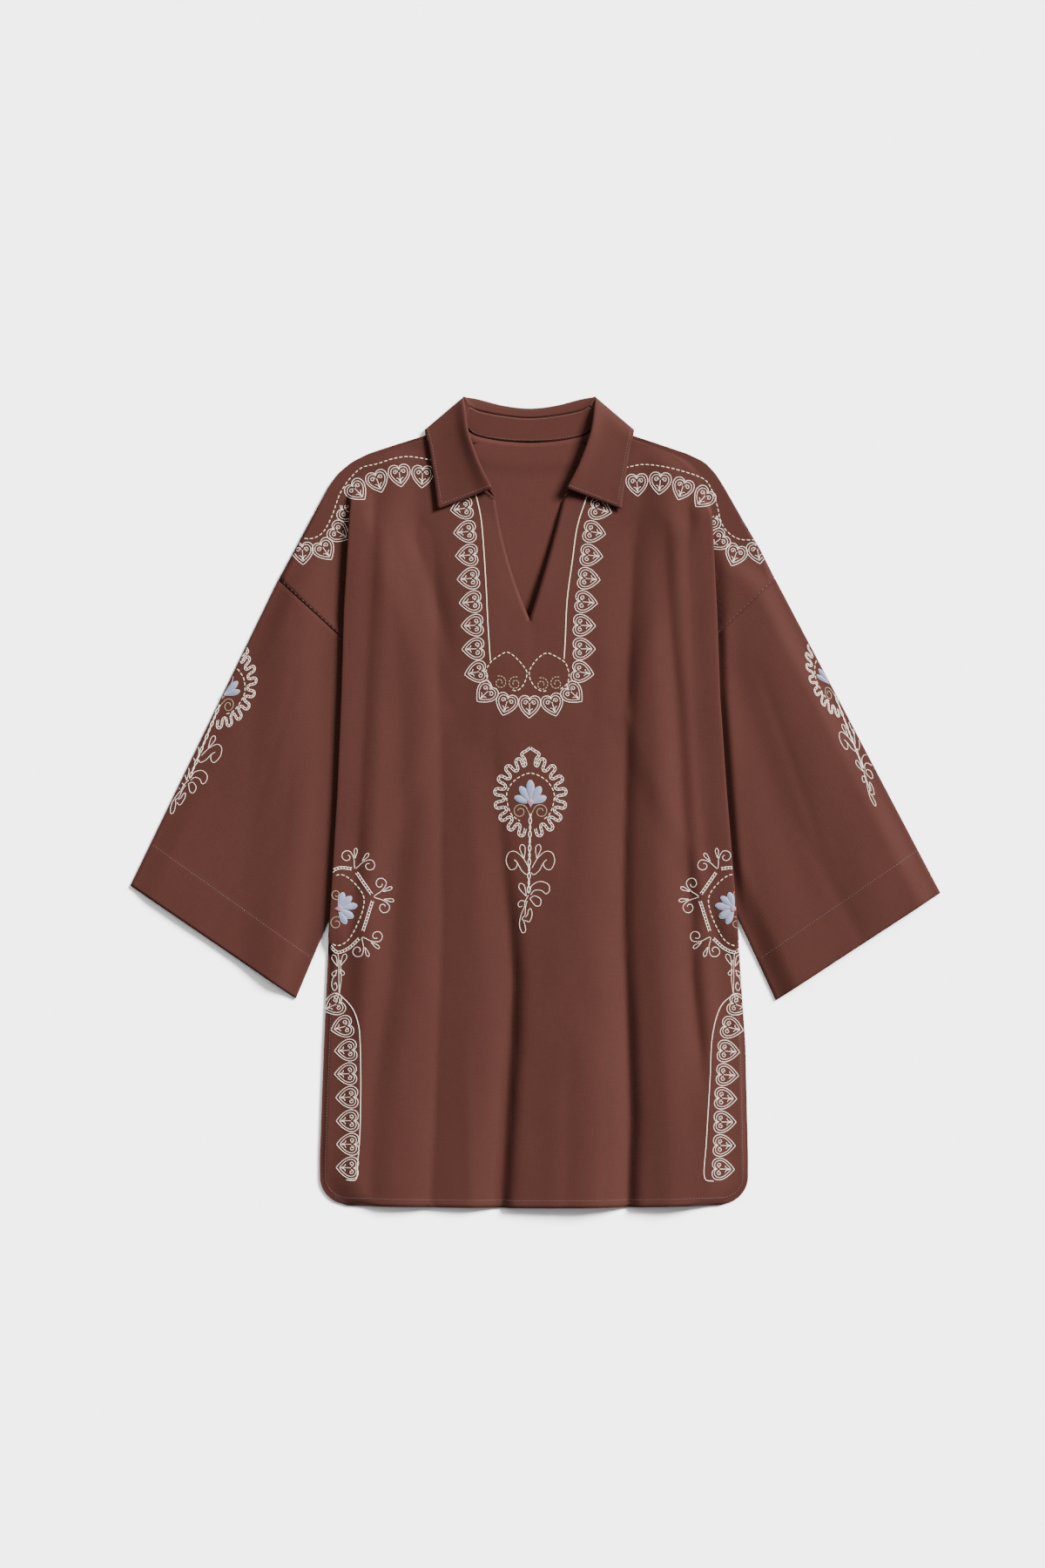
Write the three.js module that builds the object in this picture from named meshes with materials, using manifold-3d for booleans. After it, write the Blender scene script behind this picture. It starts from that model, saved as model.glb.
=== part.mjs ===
// A long-sleeved kurti laid flat on its back panel: front, back, two sleeves, collar stand and
// collar fall. Millimetres, +X to the wearer's left, +Y towards the collar, +Z up off the surface.
// The sides of the front are tucked under so that the sleeves hang down beside the body.
import * as THREE from 'three';
import { mergeVertices } from 'three/addons/utils/BufferGeometryUtils.js';
import Module from 'manifold-3d';

const wasm = await Module();
wasm.setup();

// ---------------------------------------------------------------- driving dimensions
const CLOTH = 1.2;           // thickness of the cloth wall
const SEAM_GAP = 0.4;        // plan gap between two pieces at a seam
const HEM_Y = -441;          // lowest point of the bottom hem
const HEM_RISE = 4;          // how much higher the hem is at the sides
const HEM_HALF = 230;        // half width at which it has risen by that much
const CORNER_RADIUS = 30;    // rounded corner at the foot of each side vent
const BACK_INSET = 8;        // back panel's edge inside the front's edge
const UNDERARM = { x: 112, y: 95 };   // where armhole, sleeve and side seam meet
const TUCK_END_Y = -137;     // the side tuck has run out here
const TUCK_START_Y = { right: 320, left: 308 };   // the side tuck begins here
const TUCK_DEPTH_MIN = 6;    // depth of the tuck where it starts
const TUCK_CLEAR = 0.6;      // least run of the tuck's flat layer
const SIDE_SEAM_TURN = 3;    // width of the side seam turned back inside the tuck
const SLIT_FOOT = { x: 0.5, y: 200.5 };   // foot of the neck slit, half width and height
const SLIT_BULGE = { right: 5, left: 1.5 };   // how far each edge bows out from a straight line
const SLIT_STEPS = 8;
const HPS_CLEAR = { x: 76, y: 460 };  // the necklines are cut out to here at the top
const NECK_CLEAR = 1.4;      // plan gap from the neck seam line to a panel's neckline
const NECK_MIDDLE_Y = 408;   // middle of the neck hole

// Heights of the middle of each layer of cloth, from the surface up.
const LAYER = {
  back: CLOTH / 2,
  arm: 2.3,
  sleeveLower: 2.3,
  sleeveUpper: 4.1,
  tuck: 5.9,
  front: 7.8,
};
const FRONT_REST = 2.2;      // middle of the front where it lies on the back
const FRONT_LOFT = 8.4;      // how far the front arches off the back between troughs
const LOFT_RUN = { from: 46, to: 4 };     // the arch dies out between these distances from the edge
const COLLAR_PRESS = 0.87;   // share of the arch that the collar presses flat
const PRESS_Y = { from: 150, to: 322 };   // that share is reached between these heights
const PRESS_X = { from: 165, to: 118 };   // and between these half widths
const FOLDS_END_Y = { from: 296, to: 330 };   // folds die out under the collar between these heights
const EDGE_FOLDS = 0.4;      // share of a fold's height that is left at the body's edge
const LAYER_BLEND = 0.35;    // how much of the lower of two lifts shows through the higher
const EDGE_LOFT = 2.4;       // soft bulge of the folded body edge
const EDGE_RUN = { from: 30, to: 6 };     // it rises between these distances from the edge
const EDGE_END_Y = { from: 300, to: 345 };    // and dies out between these heights
const EDGE_FOOT_Y = { from: -428, to: -372 }; // towards the hem it dies out between these
const TUCK_LIFT = { from: 34, to: 4 };    // the front rises over the tuck between these distances
const TUCK_LIFT_RUN = { start: 4, stop: 44, foot: 40 };   // and dies out this far past its ends
const COLLAR_RAISE = 1.6;    // back panel lifted over the fall that lies beneath it
const COLLAR_CLEAR = 1.35;   // the front is lifted there by this much more
const FALL_UNDER = { middle: 381, rise: 25, half: 112 };  // edge of the fall beneath the back
const FALL_UNDER_RUN = { from: 26, to: 9 };   // the back rises between these distances from it
const SLEEVE_LOFT = 4.4;     // arch of a sleeve's upper layer off its lower one

// Half widths of the front's folded edge, from the centre line, by height on the body.
const BODY_EDGE = [
  { y: 425, right: 193.0, left: 196.0 },
  { y: 320, right: 195.7, left: 198.5 },
  { y: 211, right: 202.4, left: 204.0 },
  { y: 116, right: 205.2, left: 207.4 },
  { y: 11, right: 209.5, left: 214.7 },
  { y: -137, right: 218.5, left: 227.0 },
  { y: -264, right: 224.2, left: 235.6 },
  { y: -385, right: 228.6, left: 238.5 },
  { y: -446, right: 228.6, left: 238.5 },
];

// Half widths of the shoulder line, then of the dropped shoulder round to the armhole seam.
const SHOULDER = [
  { y: 417, right: 72.0, left: 72.0 },
  { y: 401.5, right: 111.0, left: 110.0 },
  { y: 391, right: 146.0, left: 142.5 },
  { y: 381, right: 176.0, left: 172.0 },
  { y: 372, right: 194.0, left: 191.0 },
  { y: 360, right: 208.0, left: 202.5 },
  { y: 346, right: 218.5, left: 211.5 },
  { y: 311, right: 237.5, left: 231.5 },
  { y: 275, right: 256.5, left: 252.5 },
  { y: 243, right: 274.0, left: 268.5 },
];
const SHOULDER_TIP = SHOULDER[SHOULDER.length - 1].y;

// Sleeve corners in plan: outer fold and inner fold, at the armhole seam and at the hem.
const SLEEVE = {
  right: { outerTop: [274, 243], innerTop: [122, 104.1], outerHem: [435, -90], innerHem: [255, -213] },
  left: { outerTop: [268.5, 243], innerTop: [122, 104.5], outerHem: [448, -98], innerHem: [269, -215] },
};
const SLEEVE_LENGTH = 370;

// Troughs and ridges of the front. Each passes through [x, y, height] points, lowest last, and is
// low wide towards -X and high wide towards +X. Crisp is 0 for a round fold, 1 for a pressed edge.
const FRONT_FOLDS = [
  { name: 'pleat', low: 20, high: 40, crisp: 0.8, points: [
    [-103, 344, 0], [-102, 250, -1.6], [-101, 170, -3], [-97, 60, -4], [-96, -130, -5],
    [-102, -312, -5.4], [-109, -450, -5.6]] },
  { name: 'right_trough', low: 20, high: 14, crisp: 0.2, points: [
    [-152, 250, 0], [-140, 100, -1.8], [-139, -8, -2.8], [-147, -110, -3.4], [-151, -190, -3.4],
    [-162, -312, -3.4], [-161, -450, -3.2]] },
  { name: 'right_side_ridge', low: 16, high: 20, crisp: 0.1, points: [
    [-186, 250, 0], [-180, 60, 1.6], [-178, -120, 2.4], [-180, -450, 2]] },
  { name: 'collar_drag', low: 13, high: 12, crisp: 0.2, points: [
    [-125, 330, 0], [-117, 287, -2.8], [-100, 211, -3.4], [-83, 140, 0]] },
  { name: 'centre_trough', low: 22, high: 9, crisp: 0.5, points: [
    [-44, 100, 0], [-38, 40, -1.2], [-28, -74, -3.8], [-21, -140, -6.6], [-17.5, -190, -8.2],
    [-20, -260, -9.6], [-26, -350, -10.2], [-32, -450, -10.2]] },
  { name: 'centre_ridge', low: 52, high: 40, crisp: 0, points: [
    [48, 60, 0], [58, -60, 2], [62, -200, 3.8], [60, -450, 4.4]] },
  { name: 'left_trough', low: 18, high: 9, crisp: 0.5, points: [
    [122, 350, 0], [114, 287, -2.4], [108, 150, -4.4], [102.5, -74, -6.4], [102.5, -140, -6.8],
    [107.5, -250, -8.8], [110, -340, -9.6], [107.5, -450, -9.8]] },
  { name: 'left_ridge', low: 20, high: 22, crisp: 0.1, points: [
    [136, 330, 0], [134, 200, 2.2], [138, 60, 3.2], [140, -74, 3.6], [146, -217, 3.6], [156, -450, 3]] },
  { name: 'left_side_trough', low: 14, high: 9, crisp: 0.4, points: [
    [148, 340, 0], [148, 287, -1.4], [152, 211, -2.6], [161, 110, -4.4], [169, -20, -4],
    [176, -110, -4.4], [177, -188, -4.8], [184, -255, -4.4], [194, -340, 0]] },
];

// Folds that a side's sections have a point on, and how many steps lie between one and the next,
// from the centre out to the edge.
const TOP_STATIONS = {
  right: { on: ['centre_trough', 'pleat', 'right_trough'], steps: [3, 5, 3, 4] },
  left: { on: ['left_trough', 'left_side_trough'], steps: [6, 4, 4] },
};

// Folds of a sleeve's upper layer, across its width from the outer fold (0) to the inner (1)
// and along it from the armhole (0) to the hem (1).
const SLEEVE_FOLDS = [
  { name: 'long_trough', w0: 0.42, t0: 0.05, w1: 0.62, t1: 0.8, wide: 0.09, height: -4.2 },
  { name: 'inner_ridge', w0: 0.62, t0: 0.15, w1: 0.84, t1: 0.85, wide: 0.09, height: 3.0 },
  { name: 'outer_ridge', w0: 0.2, t0: 0.1, w1: 0.32, t1: 0.95, wide: 0.13, height: 2.4 },
];

// The collar, from its front end round to the centre back. Four lines run along it: the fall's
// free edge, the roll, the seam of fall to stand, and the neck seam.
const COLLAR_ROWS = [
  'front_end', 'front', 'side_front', 'side', 'wrap', 'wrap_under', 'side_back', 'back', 'centre_back',
];
const COLLAR = {
  free: [
    [100.5, 320, 7.6], [104, 349, 7.6], [109.5, 385, 7.2], [112.6, 398, 6.8], [113.8, 407, 3.6],
    [108, 405, 0.6], [92, 397, 0.6], [52, 385.5, 0.6], [0, 381, 0.6],
  ],
  roll: [
    [40.4, 342.5, 11], [54, 369.5, 12.5], [66, 403, 13], [70.5, 430, 10.5], [72, 442, 5.6],
    [68, 442, 3.4], [56, 440, 2.6], [28, 433, 2.4], [0, 430, 2.4],
  ],
  join: [
    [44, 343, 8.4], [58.5, 366.5, 9], [71.5, 402, 9], [72, 421, 8], [66, 431.5, 6.8],
    [62, 431, 6.2], [54, 427.5, 5.2], [28, 422.5, 4.8], [0, 420, 4.6],
  ],
  neck: [
    [36.5, 332.5, 5.6], [53, 348, 6], [71.5, 384, 6.2], [74, 404, 6.2], [70.5, 414, 4.6],
    [66.5, 408, 3], [58, 401, 2.3], [32, 395.6, 2.2], [0, 394, 2.2],
  ],
};
const COLLAR_STEPS = 3;      // sections between two rows of that table
const FALL_SAG = 2.2;        // how soon the fall comes down from its roll
const ROLL_HALF = 1.4;       // half the height of the roll
const ROLL_ROUND = 2.4;      // how far either side of the roll the cloth starts to turn
const ROLL_OVER = { from: 2.4, to: 5.4 };     // height of the free edge at which the roll turns over
const FALL_SHARES = [1, 0.75, 0.5, 0.25];     // points between the free edge and the roll
const FALL_END = 0.94;       // the fall stops this far from its roll to the seam
const STAND_SHARES = [0.12, 0.4, 0.7, 1];     // points from that seam to the neck seam

const SIDES = [
  { name: 'right', sign: -1 },
  { name: 'left', sign: 1 },
];

// ---------------------------------------------------------------- helpers
const lerp = (a, b, t) => a + (b - a) * t;
const clamp = (value) => Math.min(1, Math.max(0, value));

function smooth(from, to, value) {
  const t = clamp((value - from) / (to - from));
  return t * t * (3 - 2 * t);
}

// Reads column `key` of a table whose rows run down in y.
function across(table, key, y) {
  if (y >= table[0].y) return table[0][key];
  for (let i = 1; i < table.length; i += 1) {
    if (y >= table[i].y) {
      const t = (table[i - 1].y - y) / (table[i - 1].y - table[i].y);
      return lerp(table[i - 1][key], table[i][key], t);
    }
  }
  return table[table.length - 1][key];
}

// Reads a fold's x (column 0) or height (column 2) at a height on the body.
function foldAt(fold, column, y) {
  const { points } = fold;
  if (y >= points[0][1]) return points[0][column];
  const next = points.findIndex((point) => point[1] <= y);
  if (next < 0) return points[points.length - 1][column];
  const t = (points[next - 1][1] - y) / (points[next - 1][1] - points[next][1]);
  return lerp(points[next - 1][column], points[next][column], t);
}

// A closed wall of even thickness on a grid of points. `ring` closes each row on itself.
function wall(rows, ring = false) {
  const high = rows.length;
  const wide = rows[0].length;
  const at = (i, j) => rows[Math.min(high - 1, Math.max(0, i))][
    ring ? (j + wide) % wide : Math.min(wide - 1, Math.max(0, j))];
  const points = [];
  for (const side of [0.5, -0.5]) {
    for (let i = 0; i < high; i += 1) {
      for (let j = 0; j < wide; j += 1) {
        const down = new THREE.Vector3().subVectors(at(i + 1, j), at(i - 1, j));
        const along = new THREE.Vector3().subVectors(at(i, j + 1), at(i, j - 1));
        const normal = down.cross(along).normalize();
        points.push(normal.multiplyScalar(side * CLOTH).add(at(i, j)));
      }
    }
  }
  const index = [];
  const quad = (a, b, c, d) => index.push(a, b, c, a, c, d);
  const top = (i, j) => i * wide + (j % wide);
  const under = (i, j) => high * wide + top(i, j);
  const steps = ring ? wide : wide - 1;
  for (let i = 0; i < high - 1; i += 1) {
    for (let j = 0; j < steps; j += 1) {
      quad(top(i, j), top(i + 1, j), top(i + 1, j + 1), top(i, j + 1));
      quad(under(i, j), under(i, j + 1), under(i + 1, j + 1), under(i + 1, j));
    }
  }
  for (let j = 0; j < steps; j += 1) {
    quad(top(0, j), top(0, j + 1), under(0, j + 1), under(0, j));
    quad(top(high - 1, j), under(high - 1, j), under(high - 1, j + 1), top(high - 1, j + 1));
  }
  if (!ring) {
    for (let i = 0; i < high - 1; i += 1) {
      quad(top(i, 0), under(i, 0), under(i + 1, 0), top(i + 1, 0));
      const last = wide - 1;
      quad(top(i, last), top(i + 1, last), under(i + 1, last), under(i, last));
    }
  }
  const geometry = new THREE.BufferGeometry();
  const flat = points.flatMap((p) => [p.x, p.y, p.z]);
  geometry.setAttribute('position', new THREE.Float32BufferAttribute(flat, 3));
  geometry.setIndex(index);
  return facingOut(geometry);
}

function volume(geometry) {
  const place = geometry.attributes.position;
  const index = geometry.index.array;
  const [a, b, c] = [new THREE.Vector3(), new THREE.Vector3(), new THREE.Vector3()];
  let total = 0;
  for (let i = 0; i < index.length; i += 3) {
    a.fromBufferAttribute(place, index[i]);
    b.fromBufferAttribute(place, index[i + 1]);
    c.fromBufferAttribute(place, index[i + 2]);
    total += a.dot(b.cross(c)) / 6;
  }
  return total;
}

function facingOut(geometry) {
  if (volume(geometry) < 0) {
    const index = geometry.index.array;
    for (let i = 0; i < index.length; i += 3) {
      [index[i], index[i + 1]] = [index[i + 1], index[i]];
    }
  }
  return geometry;
}

function solid(geometry) {
  const bare = geometry.clone();
  bare.deleteAttribute('normal');
  bare.deleteAttribute('uv');
  const merged = mergeVertices(bare, 1e-4);
  return new wasm.Manifold(new wasm.Mesh({
    numProp: 3,
    vertProperties: new Float32Array(merged.attributes.position.array),
    triVerts: new Uint32Array(merged.index.array),
  }));
}

function geometryOf(body) {
  const mesh = body.getMesh();
  const geometry = new THREE.BufferGeometry();
  geometry.setAttribute('position', new THREE.BufferAttribute(new Float32Array(mesh.vertProperties), 3));
  geometry.setIndex(new THREE.BufferAttribute(new Uint32Array(mesh.triVerts), 1));
  return geometry;
}

// Cuts a plan shape through the whole height of a panel.
function cutThrough(geometry, shape) {
  const prism = new THREE.ExtrudeGeometry(shape, { depth: 60, bevelEnabled: false, curveSegments: 8 });
  prism.translate(0, 0, -20);
  return geometryOf(solid(geometry).subtract(solid(prism)));
}

// ---------------------------------------------------------------- outlines
const bodyEdge = (side, y) => {
  const edge = across(BODY_EDGE, side.name, y);
  const low = clamp((HEM_Y + HEM_RISE + CORNER_RADIUS - y) / CORNER_RADIUS);
  return edge - CORNER_RADIUS * (1 - Math.sqrt(Math.max(0, 1 - low * low)));
};

// Where the armhole seam crosses a height between the shoulder tip and the underarm.
function armhole(side, y) {
  const tip = SHOULDER[SHOULDER.length - 1][side.name];
  return lerp(UNDERARM.x, tip, (y - UNDERARM.y) / (SHOULDER_TIP - UNDERARM.y));
}

// The innermost line of the tuck: it runs from the body edge to the underarm and back.
function tuckInner(side, y) {
  if (y >= UNDERARM.y) {
    const start = TUCK_START_Y[side.name];
    const t = clamp((y - UNDERARM.y) / (start - UNDERARM.y));
    return lerp(UNDERARM.x, bodyEdge(side, start) - TUCK_DEPTH_MIN, t);
  }
  const t = clamp((y - TUCK_END_Y) / (UNDERARM.y - TUCK_END_Y));
  return lerp(bodyEdge(side, TUCK_END_Y) - TUCK_DEPTH_MIN, UNDERARM.x, t);
}

// ---------------------------------------------------------------- heights
function backHeight(x, y) {
  const edge = FALL_UNDER.middle + FALL_UNDER.rise * (x / FALL_UNDER.half) ** 2;
  return LAYER.back + COLLAR_RAISE * smooth(edge - FALL_UNDER_RUN.from, edge - FALL_UNDER_RUN.to, y);
}

function foldHeight(x, y) {
  let height = 0;
  for (const fold of FRONT_FOLDS) {
    if (y >= fold.points[0][1]) continue;
    const off = x - foldAt(fold, 0, y);
    const share = Math.abs(off) / (off > 0 ? fold.high : fold.low);
    const shape = (1 - fold.crisp) * Math.exp(-(share ** 2)) + fold.crisp * Math.exp(-1.5 * share);
    height += foldAt(fold, 2, y) * shape;
  }
  return height;
}

// Lift of the front over the sleeve and the tuck that lie beneath its sides.
function tuckLift(side, half, y) {
  const start = TUCK_START_Y[side.name];
  const inner = tuckInner(side, y);
  const above = smooth(start + TUCK_LIFT_RUN.start, start + TUCK_LIFT_RUN.stop, y);
  const below = smooth(TUCK_END_Y - TUCK_LIFT_RUN.foot, TUCK_END_Y + TUCK_LIFT_RUN.start, y);
  const over = smooth(inner - TUCK_LIFT.from, inner - TUCK_LIFT.to, half);
  return (LAYER.front - FRONT_REST) * over * below * (1 - above);
}

function frontHeight(side, half, y) {
  const x = side.sign * half;
  const edge = Math.min(bodyEdge(side, y), across(SHOULDER, side.name, Math.max(y, SHOULDER_TIP)));
  const rest = FRONT_REST + COLLAR_CLEAR * (backHeight(x, y) - LAYER.back);
  const nearEdge = smooth(edge - LOFT_RUN.from, edge - LOFT_RUN.to, half);
  const nearNeck = 1 - smooth(PRESS_X.to, PRESS_X.from, half);
  const pressed = COLLAR_PRESS * smooth(PRESS_Y.from, PRESS_Y.to, y) * nearNeck;
  const loft = FRONT_LOFT * (1 - nearEdge) * (1 - pressed);
  const below = 1 - smooth(FOLDS_END_Y.from, FOLDS_END_Y.to, y) * nearNeck;
  const folds = foldHeight(x, y) * (1 - (1 - EDGE_FOLDS) * nearEdge) * below;
  const arch = Math.max(0, loft + folds);
  const lift = tuckLift(side, half, y);
  const rising = smooth(edge - EDGE_RUN.from, edge - EDGE_RUN.to, half);
  const ends = smooth(EDGE_FOOT_Y.from, EDGE_FOOT_Y.to, y) - smooth(EDGE_END_Y.from, EDGE_END_Y.to, y);
  const bulge = EDGE_LOFT * rising * ends;
  return rest + Math.max(lift, arch) + LAYER_BLEND * Math.min(lift, arch) + bulge;
}

// ---------------------------------------------------------------- front
const TURN_POINTS = 3;
const TUCK_POINTS = 4;
const ARM_POINTS = 4;

const FRONT_ROWS = [
  417, 409, 402, 395, 383, 372, 360, 346, 334, 324, 316, 308, 298, 286, 270, 256, 243, 222, 200, 178,
  155, 132, 112, 104, 95, 70, 40, 5, -35, -72, -107, -137, -146, -155, -164, -174, -210, -250, -290,
  -330, -370, -400, -419, -429, -437.5,
];

// Half widths of a section's top layer, from the centre out to `to`.
function topStations(side, y, to) {
  const { on, steps } = TOP_STATIONS[side.name];
  const shares = on.map((name) => {
    const fold = FRONT_FOLDS.find((each) => each.name === name);
    return Math.abs(foldAt(fold, 0, y)) / bodyEdge(side, y);
  });
  const stops = [0, ...shares, 1];
  const stations = [0];
  for (let k = 0; k < steps.length; k += 1) {
    for (let i = 1; i <= steps[k]; i += 1) stations.push(to * lerp(stops[k], stops[k + 1], i / steps[k]));
  }
  return stations;
}

const turnAngle = (i) => Math.PI * (0.5 - i / (TURN_POINTS + 1));

// One half of a section, from the centre out, folded under at the body edge.
function foldedHalf(side, y) {
  const edge = bodyEdge(side, y);
  const inner = Math.min(tuckInner(side, y), edge - TUCK_DEPTH_MIN);
  const topZ = frontHeight(side, edge - 2, y);
  const turn = (topZ - LAYER.tuck) / 2;
  const half = topStations(side, y, edge - turn).map((x) => [x, frontHeight(side, x, y)]);
  half[half.length - 1][1] = topZ;
  for (let i = 1; i <= TURN_POINTS; i += 1) {
    const angle = turnAngle(i);
    half.push([edge - turn + turn * Math.cos(angle), LAYER.tuck + turn + turn * Math.sin(angle)]);
  }
  const back = (LAYER.tuck - LAYER.arm) / 2;
  const tuckTo = Math.min(inner + back, edge - turn - TUCK_CLEAR);
  for (let i = 0; i < TUCK_POINTS; i += 1) {
    half.push([lerp(edge - turn, tuckTo, i / (TUCK_POINTS - 1)), LAYER.tuck]);
  }
  for (let i = 1; i <= TURN_POINTS; i += 1) {
    const angle = turnAngle(i);
    half.push([tuckTo - back * Math.cos(angle), LAYER.tuck - back + back * Math.sin(angle)]);
  }
  const end = y > SHOULDER_TIP ? across(SHOULDER, side.name, y) : armhole(side, y) - SEAM_GAP;
  const armTo = Math.max(end, tuckTo + SIDE_SEAM_TURN);
  for (let i = 0; i < ARM_POINTS; i += 1) {
    half.push([lerp(tuckTo, armTo, i / (ARM_POINTS - 1)), LAYER.arm]);
  }
  return half;
}

// Where a plain section steps down to the layer beneath, over what width, and to what height.
function plainStep(side, y) {
  if (y <= TUCK_START_Y[side.name]) {
    return { end: bodyEdge(side, y), step: bodyEdge(side, y) - 9, gap: 8, low: FRONT_REST };
  }
  const end = across(SHOULDER, side.name, y);
  return {
    end,
    step: Math.min(bodyEdge(side, y) - 2, end * 0.86),
    gap: lerp(4, 12, smooth(320, 360, y)) * Math.min(1, end / 200),
    low: LAYER.arm + COLLAR_CLEAR * (backHeight(end, y) - LAYER.back),
  };
}

// One half of a section with no tuck: the cloth runs on to its edge.
function plainHalf(side, y) {
  const { end, step, gap, low } = plainStep(side, y);
  const half = topStations(side, y, step).map((x) => [x, frontHeight(side, x, y)]);
  const fromZ = half[half.length - 1][1];
  const total = TURN_POINTS * 2 + TUCK_POINTS;
  for (let i = 1; i <= total; i += 1) {
    const t = i / total;
    half.push([step + gap * t, lerp(fromZ, low, smooth(0, 1, t))]);
  }
  for (let i = 1; i <= ARM_POINTS; i += 1) half.push([lerp(step + gap, end, i / ARM_POINTS), low]);
  return half;
}

// How far a section has opened from folded (0) to plain (1).
function opened(side, y) {
  const start = TUCK_START_Y[side.name];
  return Math.max(smooth(start - 4, start + 12, y), smooth(TUCK_END_Y - 2, TUCK_END_Y - 36, y));
}

function frontHalf(side, y) {
  const open = opened(side, y);
  if (open >= 1) return plainHalf(side, y);
  const folded = foldedHalf(side, y);
  if (open <= 0) return folded;
  const plain = plainHalf(side, y);
  const half = folded.map(([x, z], i) => [lerp(x, plain[i][0], open), lerp(z, plain[i][1], open)]);
  if (y > UNDERARM.y) return half;
  const widest = Math.max(...half.map(([x]) => x));
  return half.map(([x, z]) => [x + (bodyEdge(side, y) - widest) * (x / widest) ** 8, z]);
}

function frontSection(y) {
  const hem = clamp((HEM_Y + CORNER_RADIUS - y) / CORNER_RADIUS);
  const halves = SIDES.map((side) => frontHalf(side, y).map(([x, z]) => {
    const rise = HEM_RISE * (x / HEM_HALF) ** 2 - HEM_RISE;
    return new THREE.Vector3(side.sign * x, y + hem * rise, z);
  }));
  return [...halves[0].slice(1).reverse(), ...halves[1]];
}

// The neck seam from one row of the collar to another, moved outwards by the seam gap.
function neckSeam(from, to) {
  const line = collarLine('neck');
  const index = (name) => COLLAR_ROWS.indexOf(name) * COLLAR_STEPS;
  const part = line.slice(index(from), index(to) + 1);
  const middle = new THREE.Vector2(0, NECK_MIDDLE_Y);
  return part.map((p) => {
    const out = new THREE.Vector2(p.x, p.y).sub(middle);
    return out.setLength(out.length() + NECK_CLEAR).add(middle);
  });
}

// Closes a neckline over the top of the panel. Each side's points run from shoulder to middle.
function neckShape(right, left) {
  const shape = new THREE.Shape();
  const top = HPS_CLEAR;
  shape.moveTo(0, top.y);
  shape.lineTo(-top.x, top.y);
  shape.lineTo(-top.x, right[0].y);
  for (const p of right) shape.lineTo(p.x, p.y);
  for (const p of left.slice().reverse()) shape.lineTo(-p.x, p.y);
  shape.lineTo(top.x, left[0].y);
  shape.lineTo(top.x, top.y);
  shape.closePath();
  return shape;
}

// One edge of the neck slit, from the neck seam's front end down to its foot.
function slitEdge(side, end) {
  return Array.from({ length: SLIT_STEPS }, (_, i) => {
    const t = (i + 1) / SLIT_STEPS;
    const bow = SLIT_BULGE[side.name] * 4 * t * (1 - t);
    return new THREE.Vector2(lerp(end.x, -SLIT_FOOT.x, t) - bow, lerp(end.y, SLIT_FOOT.y, t));
  });
}

function frontNeckline() {
  const seam = neckSeam('front_end', 'wrap').slice(0, -1).reverse();
  const end = seam[seam.length - 1];
  const [right, left] = SIDES.map((side) => [...seam, ...slitEdge(side, end)]);
  return neckShape(right, left);
}

function front() {
  return cutThrough(wall(FRONT_ROWS.map(frontSection)), frontNeckline());
}

// ---------------------------------------------------------------- back
const BACK_ROWS = [
  417, 409, 402, 396, 388, 380, 372, 362, 346, 311, 275, 243, 226, 208, 190, 181, 172, 116, 11, -137,
  -264, -385, -410, -424, -433, -436.5,
];
const BACK_POINTS = 14;

function backEdge(side, y) {
  const body = bodyEdge(side, y) - BACK_INSET;
  if (y > SHOULDER_TIP) return across(SHOULDER, side.name, y);
  return Math.max(body, armhole(side, y) - SEAM_GAP);
}

function backSection(y) {
  const row = [];
  const right = -backEdge(SIDES[0], y);
  const left = backEdge(SIDES[1], y);
  for (let i = 0; i < BACK_POINTS; i += 1) {
    const x = lerp(right, left, i / (BACK_POINTS - 1));
    row.push(new THREE.Vector3(x, y, backHeight(x, y)));
  }
  return row;
}

function backNeckline() {
  const seam = neckSeam('wrap', 'centre_back').slice(0, -1);
  return neckShape(seam, seam);
}

function back() {
  return cutThrough(wall(BACK_ROWS.map(backSection)), backNeckline());
}

// ---------------------------------------------------------------- sleeves
const SLEEVE_RINGS = 15;
const UPPER_POINTS = 14;
const LOWER_POINTS = 10;
const RAMP_OUT = 26;         // the sleeve starts to climb on to the back this far outside it
const SLEEVE_CLEAR = { from: 2, to: 22 };     // its arch begins this far outside the body's edge
const SLEEVE_TURN = 0.004;   // share of the width taken by the round of each fold
const FOLD_POINTS = 2;

function sleeveFloor(side, half, y) {
  const edge = bodyEdge(side, y);
  return lerp(LAYER.back, LAYER.sleeveLower, smooth(edge + RAMP_OUT, edge - BACK_INSET + 3, half));
}

function sleeveFolds(t, w) {
  let height = 0;
  for (const fold of SLEEVE_FOLDS) {
    const along = clamp((t - fold.t0) / (fold.t1 - fold.t0));
    const off = w - lerp(fold.w0, fold.w1, along);
    const ends = smooth(fold.t0 - 0.12, fold.t0 + 0.08, t) * (1 - smooth(fold.t1 - 0.1, fold.t1 + 0.12, t));
    height += fold.height * Math.exp(-((off / fold.wide) ** 2)) * ends;
  }
  return height;
}

function sleeveLoft(side, half, y, t, w) {
  const clear = smooth(bodyEdge(side, y) + SLEEVE_CLEAR.from, bodyEdge(side, y) + SLEEVE_CLEAR.to, half);
  const middle = smooth(0, 0.14, w) * (1 - smooth(0.86, 1, w));
  const seam = smooth(0, 0.12, t);
  const arch = Math.max(0, SLEEVE_LOFT + sleeveFolds(t, w));
  return arch * middle * seam * clear;
}

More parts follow.
